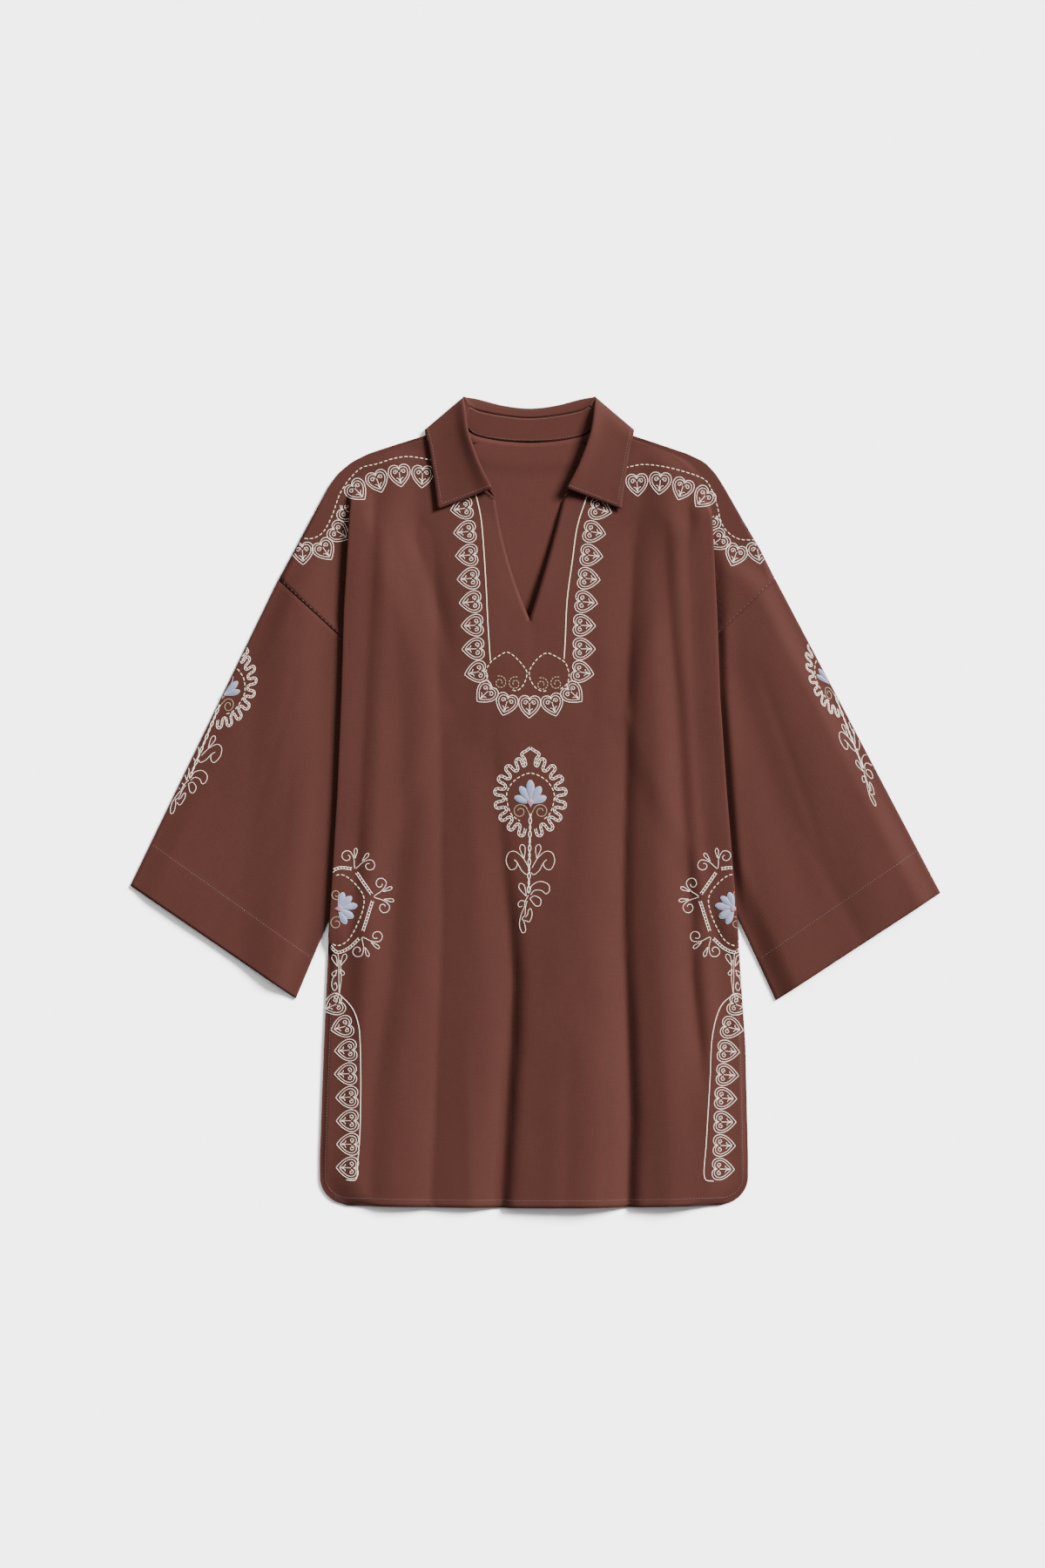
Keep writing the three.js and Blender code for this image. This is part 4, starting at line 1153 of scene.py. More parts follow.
class FrontSurface:
    """The visible face of the front: the body, and the arm's layer beyond its fold."""

    def __init__(self, panel: FrontPanel) -> None:
        """Keeps the panel's rows, and where each row folds under."""
        self.panel = panel
        self.rows = {side: panel.points(side) for side in Side}
        self.layer = Layer.BOTH

    def only(self, layer: Layer) -> FrontSurface:
        """Returns the same surface with only one of its layers."""
        made = copy.copy(self)
        made.layer = layer
        return made

    def row_of(self, x: float, y: float) -> float:
        """Returns the row, as a fraction, that passes a plan point."""
        level = y
        for _ in range(3):
            hem = min(1.0, max(0.0, (HEM_Y + CORNER_RADIUS - level) / CORNER_RADIUS))
            level = y - hem * (HEM_RISE * (x / HEM_SWEEP) ** 2 - HEM_RISE)
        panel = self.panel
        return (panel.high - level) / (panel.high - panel.low) * (panel.rows - 1)

    def height(self, x: float, y: float) -> float:
        """Returns the height of the cloth's upper face at a plan point, or nan off the cloth."""
        side = Side.LEFT if x > 0 else Side.RIGHT
        at = self.row_of(x, y)
        if not 0 <= at < self.panel.rows - 1:
            return math.nan
        low, share = int(at), at - int(at)
        half = abs(x)
        heights = []
        for row in self.rows[side][low:low + 2]:
            reach = np.abs(row[:, 0])
            falls = np.nonzero(np.diff(reach) <= 0)[0]
            stop = falls[0] + 1 if len(falls) else len(reach)
            if half <= reach[stop - 1]:
                if self.layer is Layer.ARM:
                    return math.nan
                heights.append(np.interp(half, reach[:stop], row[:stop, 2]))
            elif half <= reach[-1] and self.layer is not Layer.BODY:
                arm = self.panel.arm_points
                heights.append(np.interp(half, reach[-arm:], row[-arm:, 2]))
            else:
                return math.nan
        return lerp(heights[0], heights[1], share) + CLOTH / 2

    def lay(self, line: np.ndarray) -> list[Laid]:
        """Returns the stretches of a plan line that lie on the cloth."""
        heights = np.array([self.height(x, y) for x, y in line[:, :2]])
        points = np.column_stack([line[:, :2], heights])
        return runs_of(points, ~np.isnan(heights))


class SleeveSurface:
    """The visible face of a sleeve's upper layer."""

    def __init__(self, sleeve: Sleeve) -> None:
        """Keeps the sleeve."""
        self.sleeve = sleeve

    def lay(self, line: np.ndarray) -> list[Laid]:
        """Returns the stretches of a plan line that lie on the sleeve."""
        sleeve = self.sleeve
        half, y = np.abs(line[:, 0]), line[:, 1]
        w, t = sleeve.shares(half, y)
        heights = sleeve.height(w, t, np.ones_like(w)) + CLOTH / 2
        clear = half > sleeve.draft.body_edge(sleeve.side, y) - 1
        keep = (w > 0.004) & (w < 0.996) & (t > 0.004) & (t < 0.998) & clear
        points = np.column_stack([sleeve.side.value * half, y, heights])
        return runs_of(points, keep)


class GridSurface:
    """A grid of cloth that is worked by shares of its rows and columns."""

    def __init__(self, points: np.ndarray) -> None:
        """Keeps the grid, in millimetres, and its outward directions."""
        self.points = points
        along = np.gradient(points, axis=0)
        across = np.gradient(points, axis=1)
        normal = np.cross(across, along)
        self.normals = normal / np.maximum(np.linalg.norm(normal, axis=2, keepdims=True), 1e-9)

    def sample(self, values: np.ndarray, rows: np.ndarray, columns: np.ndarray) -> np.ndarray:
        """Returns values of the grid at fractional rows and columns."""
        high, wide = values.shape[:2]
        r = np.clip(rows, 0, high - 1.001)
        c = np.clip(columns, 0, wide - 1.001)
        r0, c0 = r.astype(int), c.astype(int)
        fr, fc = (r - r0)[:, None], (c - c0)[:, None]
        near = lerp(values[r0, c0], values[r0, c0 + 1], fc)
        far = lerp(values[r0 + 1, c0], values[r0 + 1, c0 + 1], fc)
        return lerp(near, far, fr)

    def lay(self, line: np.ndarray) -> list[Laid]:
        """Returns a line given by shares of the rows and of the columns."""
        high, wide = self.points.shape[:2]
        rows, columns = line[:, 0] * (high - 1), line[:, 1] * (wide - 1)
        normals = self.sample(self.normals, rows, columns)
        normals /= np.maximum(np.linalg.norm(normals, axis=1, keepdims=True), 1e-9)
        return [(self.sample(self.points, rows, columns) + normals * CLOTH / 2, normals)]


# ---------------------------------------------------------------- thread
@dataclass(frozen=True)
class Spool:
    """A thread and the stitch it is worked in, in millimetres."""

    finish: str
    width: float
    height: float
    link: float = 0.0
    dash: float = 0.0
    gap: float = 0.0
    sides: int = 5
    step: float = 0.75


CORD = Spool("cream", 1.05, 0.8, link=2.4)
FINE = Spool("cream", 0.72, 0.55, link=1.7, step=0.6)
OUTLINE = Spool("cream", 0.86, 0.65, link=2.0, step=0.7)
BRAID_EDGE = Spool("cream", 0.8, 0.6, link=1.8, step=0.7)
EDGE_CORD = Spool("braid", 1.3, 0.9, link=2.6)
RUNNING = Spool("braid", 1.05, 0.7, dash=4.0, gap=1.7)
GOLD = Spool("gold", 0.95, 0.6, link=2.0, step=0.65)
GOLD_RUNNING = Spool("gold", 1.1, 0.65, dash=2.6, gap=0.7)
PETAL_EDGE = Spool("pale", 0.7, 0.8, link=1.6, step=0.6)
PETAL = Spool("blue", 1.0, 0.8, sides=12)
HEART_OF_FLOWER = Spool("pink", 1.0, 0.9, sides=10)
SEAM = Spool("tonal", 0.6, 0.4, dash=2.3, gap=0.9, sides=4)
LINK_WAIST, END_STEP, SHORTEST = 0.2, 0.15, 0.8


class Leaf(NamedTuple):
    """A shape filled with satin stitch: where it begins, its lean from +Y, length and width."""

    x: float
    y: float
    lean: float
    length: float
    width: float
    spool: Spool
    edge: Spool | None


@dataclass
class Motif:
    """One worked figure, drawn about its own middle with +Y up."""

    strokes: list[tuple[np.ndarray, Spool]] = field(default_factory=list)
    leaves: list[Leaf] = field(default_factory=list)

    def add(self, line: Sequence[Sequence[float]], spool: Spool) -> None:
        """Adds one line."""
        self.strokes.append((np.asarray(line, float), spool))

    def both(self, line: Sequence[Sequence[float]], spool: Spool) -> None:
        """Adds a line and its mirror image."""
        points = np.asarray(line, float)
        self.add(points, spool)
        self.add(points * (-1, 1), spool)

    def smooth(self, points: Sequence[Sequence[float]], spool: Spool, mirrored: bool = False) -> None:
        """Adds a smooth line through a few points, mirrored as well if asked."""
        line = spline(points, 8)
        if mirrored:
            self.both(line, spool)
        else:
            self.add(line, spool)

    def fill(self, leaf: Leaf) -> None:
        """Adds a filled shape."""
        self.leaves.append(leaf)

    def ladder(self, path: np.ndarray, spool: Spool, apart: float, rung: float) -> None:
        """Adds a double line with rungs across it.

        Args:
            path: the middle of the pair.
            spool: the thread of both lines.
            apart: the distance between the lines.
            rung: the distance from one rung to the next.
        """
        line = even(path, 0.7)
        slope = np.gradient(line, axis=0)
        slope /= np.linalg.norm(slope, axis=1, keepdims=True)
        beside = np.stack([-slope[:, 1], slope[:, 0]], axis=1) * apart / 2
        self.add(line + beside, spool)
        self.add(line - beside, spool)
        for i in range(2, len(line) - 2, max(1, int(round(rung / 0.7)))):
            self.add([line[i] + beside[i], line[i], line[i] - beside[i]], spool)

    def placed(self, x: float, y: float, turn: float = 0.0, size: float = 1.0, flip: bool = False,
               narrow: float = 1.0) -> Motif:
        """Returns the figure moved to a place.

        Args:
            x: where its middle goes.
            y: where its middle goes.
            turn: degrees anticlockwise.
            size: its scale.
            flip: whether it is mirrored first.
            narrow: the share of its width that is left, where the cloth rolls away under it.

        Returns:
            The figure in garment millimetres.
        """
        angle = math.radians(turn)
        spin = np.array([[math.cos(angle), math.sin(angle)], [-math.sin(angle), math.cos(angle)]])
        sign = -1.0 if flip else 1.0

        def move(line: np.ndarray) -> np.ndarray:
            return (line * (sign * narrow, 1.0) * size) @ spin + (x, y)

        made = Motif([(move(line), spool) for line, spool in self.strokes])
        for leaf in self.leaves:
            base = move(np.array([[leaf.x, leaf.y]]))[0]
            lean = sign * narrow * leaf.lean - turn
            wide = leaf.width * size * narrow
            made.fill(Leaf(base[0], base[1], lean, leaf.length * size, wide, leaf.spool, leaf.edge))
        return made


def bezier(points: Sequence[Sequence[float]], steps: int) -> np.ndarray:
    """Returns a cubic curve through its first and last point, led by the two between."""
    a, b, c, d = np.asarray(points, float)
    t = np.linspace(0, 1, steps)[:, None]
    return a * (1 - t) ** 3 + 3 * b * t * (1 - t) ** 2 + 3 * c * t * t * (1 - t) + d * t ** 3


def spiral(middle: Sequence[float], outer: float, inner: float, turns: float, start: float) -> np.ndarray:
    """Returns a spiral that winds inwards, anticlockwise if its turns are positive.

    Args:
        middle: its middle.
        outer: the radius it starts at.
        inner: the radius it ends at.
        turns: how many turns it makes.
        start: the angle it starts at, in degrees from +X.

    Returns:
        The points of the spiral.
    """
    share = np.linspace(0, 1, max(8, int(abs(turns) * 18)))
    angle = math.radians(start) + share * turns * 2 * math.pi
    radius = lerp(outer, inner, share)
    return np.stack([middle[0] + radius * np.cos(angle), middle[1] + radius * np.sin(angle)], axis=1)


def drop_shape(base: Sequence[float], tip: Sequence[float], half: float) -> np.ndarray:
    """Returns a closed drop from its pointed base round a rounded tip."""
    a, b = np.asarray(base, float), np.asarray(tip, float)
    along = b - a
    beside = np.array([-along[1], along[0]]) / np.linalg.norm(along) * half
    return spline([a, a + along * 0.45 + beside * 0.75, a + along * 0.8 + beside, b,
                   a + along * 0.8 - beside, a + along * 0.45 - beside * 0.75, a], 5)


def heart_motif() -> Motif:
    """Draws the heart: two outlines, two scrolls in its lobes and a small palmette below."""
    made = Motif()
    lobe = bezier(((0, 7.4), (0.6, 13.2), (11.9, 13.6), (11.9, 4.2)), 12)
    flank = bezier(((11.9, 4.2), (11.9, -2.5), (5.5, -8.5), (0, -12.8)), 12)
    outline = np.vstack([lobe, flank[1:]])
    made.both(outline, OUTLINE)
    made.both((outline - (0, 4)) * (0.78, 0.75) + (0, 3.4), FINE)
    made.both(spiral((4.4, 3.9), 2.7, 0.9, -1.2, 190), FINE)
    made.both(bezier(((0.2, -7.6), (0.6, -4.5), (1.6, -3.0), (3.9, -2.6)), 7), FINE)
    made.add([(0, 3.4), (0, 0.5), (0, -8.2)], FINE)
    return made


class StemLine(NamedTuple):
    """A named line of the medallion's stem, through a few points."""

    name: str
    mirrored: bool
    points: tuple[tuple[float, float], ...]


STEM_LINES = (
    StemLine("hook", True, (
        (1.8, -80), (5.2, -73.5), (8.6, -68.5), (16.3, -62.2), (23.7, -63.7), (26.4, -72.6),
        (22.3, -81.5), (16.5, -80.7), (14.2, -75), (17.8, -71),
    )),
    StemLine("hook_foot", True, (
        (17.8, -71), (14.5, -74), (12, -78.5), (9, -83.5), (3.7, -87.4), (0.8, -85),
    )),
    StemLine("upper_leaf", False, (
        (-0.7, -106.7), (1.5, -99.3), (10.4, -94.8), (19.3, -97.8), (20.8, -104.5), (17, -108.2),
        (11.9, -104.5), (4.5, -104.5), (0, -109.7),
    )),
    StemLine("lower_leaf", False, (
        (-0.7, -113.4), (4.5, -110.4), (11.1, -114.1), (10.4, -120.8), (5.2, -120.8),
        (-0.7, -113.4),
    )),
    StemLine("tail", False, (
        (-2.2, -109.7), (-5.9, -117), (-6.7, -123), (-10.4, -132), (-11.9, -142.3), (-8.9, -150.5),
        (-5.2, -148.2), (-6.7, -139.3), (-9, -135), (-5.9, -131), (-5.2, -122), (-3.5, -116),
    )),
    StemLine("curl", False, (
        (-4.7, -117), (-10, -115.5), (-13.4, -119), (-12, -122.5), (-8.9, -121.5),
    )),
    StemLine("tail_curl", False, (
        (-6, -137), (-1, -138.5), (1.8, -131), (0.5, -124.5), (-2.2, -126), (-3, -130.5),
        (-5.5, -134),
    )),
)


def medallion_motif() -> Motif:
    """Draws the medallion: a looped ring round a lotus, on a stem with scrolls and leaves."""
    made = Motif()
    u = np.linspace(0.0, 7.86, 330)
    angle = np.radians(10.6 + 20.5 * u + 1.5 * np.sin(4 * np.pi * u))
    swing = 5.4 * np.cos(2 * np.pi * u)
    loops = np.stack([(33.8 - swing) * np.sin(angle), (38.6 - swing) * np.cos(angle) - 2.6], axis=1)
    roof = spline(((0, 50.6), (4.6, 47.4), (9.6, 43.8), (6.4, 38.6), (5.0, 32.6)), 8)
    half_ring = np.vstack([roof, loops[4:]])
    for sign in (1, -1):
        made.ladder(half_ring * (sign, 1), BRAID_EDGE, 2.2, 4.2)
    onion = ((0, 23.5), (9, 20.5), (19, 13.5), (25.6, 2), (25, -10), (20.5, -22), (11.5, -29))
    made.smooth(onion, RUNNING, True)
    petals = ((-67, 18.5, 7.4), (67, 18.5, 7.4), (-31, 21.5, 8.0), (31, 21.5, 8.0), (0, 25.5, 8.6))
    for lean, length, width in petals:
        made.fill(Leaf(0, -10, lean, length, width, PETAL, PETAL_EDGE))
    made.fill(Leaf(0, -14.5, 0, 9.5, 7.5, HEART_OF_FLOWER, None))
    made.both(spiral((11.4, -18.6), 8.4, 2.4, -1.45, 170), GOLD)
    made.both(bezier(((3.1, -17.2), (1.4, -20), (0.8, -22), (0.6, -26)), 8), GOLD)
    stem = np.linspace(-21, -108, 60)
    for phase in (0.0, math.pi):
        twist = 1.15 * np.cos((stem + 21) * 2 * math.pi / 15.0 + phase) + 0.35 * (1 if phase else -1)
        made.add(np.stack([twist - 2.0 * (stem + 21) / -87, stem], axis=1), CORD)
    made.both(drop_shape((6.8, -69.5), (9.3, -54.5), 2.9), FINE)
    made.smooth(drop_shape((-4.5, -111), (-11.2, -97), 3.1)[::5], FINE)
    for part in STEM_LINES:
        made.smooth(part.points, FINE, part.mirrored)
    return made


class Corner(NamedTuple):
    """Scrollwork at a corner of the hip medallion: its foot and the way it points."""

    x: float
    y: float
    lean: float


HIP_CORNERS = (Corner(19.0, 43.6, 22.0), Corner(39.5, 13.0, 82.0), Corner(26.6, -31.0, 142.0))


def corner_motif() -> Motif:
    """Draws a corner's scrollwork: two stems, each with a scroll and a drop."""
    made = Motif()
    made.smooth(((0.4, 0), (2.4, 3.6), (4.6, 8.4), (8.4, 12.9), (13.4, 15.4), (18.2, 12.4),
                 (18.4, 7.2), (14.2, 4.4), (10, 6), (9.8, 9.6), (12.6, 11)), FINE, True)
    made.both(drop_shape((4.3, 10.4), (7.4, 21.0), 1.7), FINE)
    return made


def hip_motif() -> Motif:
    """Draws the hip medallion: a braided frame with scrolled corners round a lotus on its side."""
    made = Motif()
    bars = (
        ((-9.0, 37.0), (-4.0, 42.0), (4.0, 44.6), (15.4, 43.4)),
        ((20.6, 39.4), (28.8, 27.5), (37.2, 15.6)),
        ((38.0, 8.4), (33.0, -7.5), (27.4, -24.8)),
        ((23.6, -32.4), (12.0, -43.0), (0.0, -47.6), (-8.0, -41.0)),
    )
    for bar in bars:
        made.ladder(spline(bar, 8), BRAID_EDGE, 2.5, 3.6)
    scroll = corner_motif()
    for corner in HIP_CORNERS:
        placed = scroll.placed(corner.x, corner.y, -corner.lean, 1.0)
        made.strokes.extend(placed.strokes)
    arc = ((-2.8, 36.1), (4.8, 36.9), (13.3, 32.3), (22.8, 22.8), (28.2, 13.5), (28.5, 3.8),
           (24.3, -10.4), (17.1, -25.6), (9.5, -36.1), (0, -40.4), (-7, -38))
    made.smooth(arc, RUNNING)
    petals = ((18, 18.5, 6.8), (152, 18.5, 6.8), (48, 19.5, 7.0), (120, 19, 7.4), (80, 21, 7.4))
    for lean, length, width in petals:
        made.fill(Leaf(0.5, 0, lean, length, width, PETAL, PETAL_EDGE))
    made.fill(Leaf(-3.5, 0, 90, 9.0, 7.6, HEART_OF_FLOWER, None))
    made.add(spiral((-1.5, 15.5), 6.0, 1.8, -1.2, -60), GOLD)
    made.add(spiral((-1.5, -16.0), 7.5, 2.0, 1.2, 60), GOLD)
    made.smooth(((0.4, -48.5), (1.0, -60), (1.2, -78), (1.4, -92.1)), FINE)
    made.smooth(((2.6, -56), (3.4, -66), (3.6, -78), (1.8, -92.1)), FINE)
    drops = (((3.4, -62), (8.8, -49.5), 2.4), ((-0.4, -63), (-5.4, -50.5), 2.4),
             ((2.8, -66), (6.2, -72.4), 2.0), ((-1.0, -67), (-5.8, -73.0), 2.0))
    for base, tip, half in drops:
        made.add(drop_shape(base, tip, half), FINE)
    made.smooth(((-1.6, -72), (-5.4, -76), (-6.6, -84), (-4.0, -89.5), (-0.9, -86),
                 (-2.4, -80.5), (-4.4, -83)), FINE)
    made.add(drop_shape((0.6, -92.5), (-2.8, -98.4), 1.8), FINE)
    return made


class Needlework:
    """All the thread of one area, gathered by finish and made into a mesh for each."""

    def __init__(self, area: str, place: Place) -> None:
        """Starts with no thread.

        Args:
            area: the name that the meshes begin with.
            place: where the garment lies in the frame.
        """
        self.area = area
        self.place = place
        self.worked: dict[tuple[str, int], list[tuple[np.ndarray, np.ndarray]]] = {}

    def keep(self, spool: Spool, points, normals, width, height, along) -> None:
        """Adds the rings of one strand."""
        slope = np.gradient(points, axis=0)
        slope /= np.maximum(np.linalg.norm(slope, axis=1, keepdims=True), 1e-9)
        beside = np.cross(normals, slope)
        beside /= np.maximum(np.linalg.norm(beside, axis=1, keepdims=True), 1e-9)
        lift = np.cross(slope, beside)
        angle = np.linspace(-math.pi / 2, 1.5 * math.pi, spool.sides + 1)
        out = beside[:, None, :] * (width / 2)[:, None, None] * np.cos(angle)[None, :, None]
        rise = lift[:, None, :] * (height / 2)[:, None, None] * (0.7 + np.sin(angle))[None, :, None]
        rings = points[:, None, :] + out + rise
        turns = np.linspace(0, 1, spool.sides + 1)[None, :]
        mark = np.stack(np.broadcast_arrays(along[:, None] * MM, turns), axis=2)
        self.worked.setdefault((spool.finish, spool.sides), []).append((rings, mark))

    def strand(self, laid: Laid, spool: Spool) -> None:
        """Works one continuous strand, with rounded ends and the swell of each link."""
        points, normals = laid
        along = travelled(points)
        total = along[-1]
        if total < SHORTEST:
            return
        at = np.linspace(0, total, max(3, int(round(total / spool.step)) + 1))
        near, far = min(END_STEP, total / 5), max(total - END_STEP, total * 0.8)
        at = np.unique(np.concatenate([[0.0, near], at[1:-1], [far, total]]))
        full = np.ones_like(at)
        if spool.link:
            full = 1 - LINK_WAIST * (0.5 + 0.5 * np.cos(at * 2 * math.pi / spool.link))
        edge = np.minimum(at, total - at) / (spool.width / 2)
        full = full * np.sqrt(np.clip(1 - (1 - np.minimum(edge, 1.0)) ** 2, 0.02, 1))
        self.keep(spool, sampled(at, along, points), sampled(at, along, normals),
                  spool.width * full, spool.height * full, at)

    def dashes(self, laid: Laid, spool: Spool) -> None:
        """Works running stitches: each dips into the cloth at both ends."""
        points, normals = laid
        along = travelled(points)
        pitch = spool.dash + spool.gap
        shape = np.array([0.0, 0.08, 0.3, 0.7, 0.92, 1.0])
        full = np.array([0.15, 0.75, 1.0, 1.0, 0.75, 0.15])
        for start in np.arange(spool.gap / 2, along[-1] - spool.dash * 0.6, pitch):
            at = start + shape * min(spool.dash, along[-1] - start)
            self.keep(spool, sampled(at, along, points), sampled(at, along, normals),
                      spool.width * full, spool.height * full, at)

    def work(self, surface, line: np.ndarray, spool: Spool, spaced: bool = True) -> None:
        """Works a line on a surface, wherever the surface is there to take it."""
        fine = even(np.asarray(line, float), 0.7) if spaced else line
        for laid in surface.lay(fine):
            if spool.dash:
                self.dashes(laid, spool)
            else:
                self.strand(laid, spool)

    def satin(self, surface, leaf: Leaf) -> None:
        """Works a filled shape and, if it has one, its outline."""
        angle = math.radians(leaf.lean)
        way = np.array([math.sin(angle), math.cos(angle)])
        base = np.array([leaf.x, leaf.y])
        share = np.linspace(0, 1, 15)
        for points, normals in surface.lay(base + share[:, None] * way * leaf.length):
            at = np.hypot(*(points[:, :2] - base).T) / leaf.length
            swell = np.sin(math.pi * np.clip(at, 0.02, 0.985) ** 1.9) ** 0.6
            self.keep(leaf.spool, points, normals, leaf.width * swell,
                      leaf.spool.height * (0.6 + swell), at * leaf.length)
        if leaf.edge is not None:
            swell = np.sin(math.pi * np.clip(share, 0.0, 0.985) ** 1.9) ** 0.6 * leaf.width / 2
            beside = np.array([way[1], -way[0]])
            middle = base + share[:, None] * way * leaf.length
            out = swell[:, None] * beside
            rim = np.vstack([middle + out, (middle - out)[::-1]])
            self.work(surface, rim, leaf.edge)

    def motif(self, surface, motif: Motif) -> None:
        """Works every line and filled shape of a figure."""
        for leaf in motif.leaves:
            self.satin(surface, leaf)
        for line, spool in motif.strokes:
            self.work(surface, line, spool)

    def make(self, finishes: Finishes) -> list[bpy.types.Object]:
        """Builds one mesh for each finish and number of sides."""
        made = []
        for (finish, sides), strands in self.worked.items():
            material, slot = finishes.thread[finish]
            made.append(self.build(f"{self.area}_{finish}_{sides}", material, sides, strands))
        return made

    def build(self, name: str, material, sides: int, strands) -> bpy.types.Object:
        """Builds one mesh: a grid whose rows are the strands' rings, parted between strands."""
        rings = np.vstack([rings for rings, _ in strands])
        marks = np.vstack([marks for _, marks in strands])
        mesh = bmesh.new()
        bmesh.ops.create_grid(mesh, x_segments=sides, y_segments=len(rings) - 1, size=1.0)
        mesh.faces.ensure_lookup_table()
        ends = np.cumsum([len(rings) for rings, _ in strands])[:-1] - 1
        bridges = [mesh.faces[row * sides + k] for row in ends for k in range(sides)]
        bmesh.ops.delete(mesh, geom=bridges, context="FACES_ONLY")
        data = mesh_data(name, mesh)
        data.vertices.foreach_set("co", self.place.metres(rings.reshape(-1, 3)).ravel())
        corners = np.empty(len(data.loops), dtype=np.int64)
        data.loops.foreach_get("vertex_index", corners)
        layer = data.uv_layers.new(name="cloth")
        layer.uv.foreach_set("vector", marks.reshape(-1, 2)[corners].ravel())
        data.update()
        data.shade_smooth()
        data.materials.append(material)
        made = show(name, data)
        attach(made, BODY)
        LOG.info("%s: %d faces", name, len(data.polygons))
        return made


# ---------------------------------------------------------------- where the needlework goes
class HeartRun(NamedTuple):
    """A row of hearts along a path, pointing to one side of it. The last on_arm lie past the fold."""

    name: str
    count: int
    side: int
    on_arm: int
    path: tuple[tuple[float, float], ...]


class CordRun(NamedTuple):
    """A worked line on the front."""

    name: str
    spool: Spool
    path: tuple[tuple[float, float], ...]


HEART_RUNS = (
    HeartRun("neck", 21, 1, 0, (
        (-73.6, 321), (-70.3, 297.3), (-66.5, 247.9), (-62.4, 198.5), (-59.2, 147.2),
        (-48.9, 120.6), (-25.6, 107.7), (-0.9, 105.4), (23.4, 106.4), (47.1, 118.8), (57.8, 144.9),
        (59.3, 196.6), (64.3, 245.1), (70.3, 295.4), (77.0, 320),
    )),
    HeartRun("shoulder_right", 8, -1, 4, (
        (-116.8, 356.2), (-141.1, 357.2), (-168.2, 349.6), (-189.4, 339), (-197.5, 316.5),
        (-208.5, 293), (-225.5, 274.5), (-247.5, 272.6),
    )),
    HeartRun("shoulder_left", 8, 1, 4, (
        (117.2, 347.2), (143.4, 348.6), (169.6, 341.1), (191.5, 330.5), (196.5, 306.5),
        (206.5, 284.5), (226.2, 269.8), (249, 273.5),
    )),
    HeartRun("vent_right", 8, 1, 0, (
        (-213.8, -220.5), (-205.2, -240.3), (-200.0, -267.4), (-200.0, -294.1), (-198.5, -320.1),
        (-198, -345.3), (-197.6, -371.4), (-198, -397.1),
    )),
    HeartRun("vent_left", 8, -1, 0, (
        (228.0, -220.5), (221.3, -241.3), (216.6, -267.4), (215.2, -293.6), (213.2, -320.1),
        (212.3, -346.8), (211.6, -372.4), (210.5, -398.6),
    )),
)
CORD_RUNS = (
    CordRun("neck_right", EDGE_CORD, (
        (-58.9, 338), (-53.2, 311.6), (-50.3, 281.2), (-47.5, 237.5), (-45.6, 198.5),
        (-42.8, 154.8),
    )),
    CordRun("neck_left", EDGE_CORD, (
        (63.8, 338), (52.2, 302.1), (46.5, 263.1), (40.9, 221.3), (38.9, 179.5), (37.5, 156.8),
    )),
    CordRun("arch_right", RUNNING, (
        (-34.4, 123.4), (-42, 127.6), (-46, 136.1), (-47.1, 144.6), (-42, 153.9), (-32.7, 160.7),
        (-25.9, 164.1), (-20, 162.4), (-11.5, 154.8), (-4.7, 146.3), (-2.9, 141.2), (-4.2, 134.4),
        (-8.1, 126.7), (-14, 122.5), (-20, 123.4),
    )),
    CordRun("arch_left", RUNNING, (
        (32.6, 123.4), (40.3, 129.3), (42.8, 136.9), (42.3, 143.7), (38.6, 153), (28.4, 159.8),
        (18.2, 163.2), (8.8, 157.3), (1.2, 147.1), (-0.5, 140.3), (1.2, 133.5), (6.3, 125.9),
        (13.9, 121.7), (18.2, 122.5),
    )),
    CordRun("shoulder_right", RUNNING, (
        (-104, 372.7), (-111.1, 374.7), (-132, 377.6), (-149.2, 375.2), (-165.3, 370),
        (-182.4, 365.8), (-193.8, 356.2), (-201.4, 346.3), (-208, 334.4), (-215.6, 312.6),
        (-225.6, 294.9), (-238.4, 288.3), (-253, 289.9),
    )),
    CordRun("shoulder_left", RUNNING, (
        (103, 365.0), (107.3, 366.1), (123.5, 369), (145.3, 366.7), (169.1, 361), (189, 353.8),
        (197.2, 344.3), (203.8, 326.8), (210.9, 302.1), (227, 288.3), (250, 286.9),
    )),
    CordRun("vent_right", CORD, (
        (-208.5, -207.1), (-193.8, -222.3), (-187.1, -238.4), (-184.7, -257.4), (-183.8, -303.1),
        (-184.7, -356.2), (-187.1, -390.4), (-189, -409.4), (-200, -410.4),
    )),
    CordRun("vent_left", CORD, (
        (223.8, -207.1), (208, -222.3), (199, -254.6), (196.4, -303.1), (192.4, -369.5),
        (190.3, -406.6), (200.6, -411.8),
    )),
)
NECK_SCROLLS = ((-32.3, 131.1, 1), (-16.1, 130.2, -1), (13.3, 129.2, 1), (29.4, 130.2, -1))


class SleeveMedallion(NamedTuple):
    """A medallion worked over the outer fold of a sleeve."""

    side: Side
    down: float
    beyond: float
    tilt: float
    narrow: float


SLEEVE_MEDALLIONS = (
    SleeveMedallion(Side.RIGHT, 0.349, 0.0, 4.5, 0.8),
    SleeveMedallion(Side.LEFT, 0.308, 1.0, 6.0, 0.5),
)


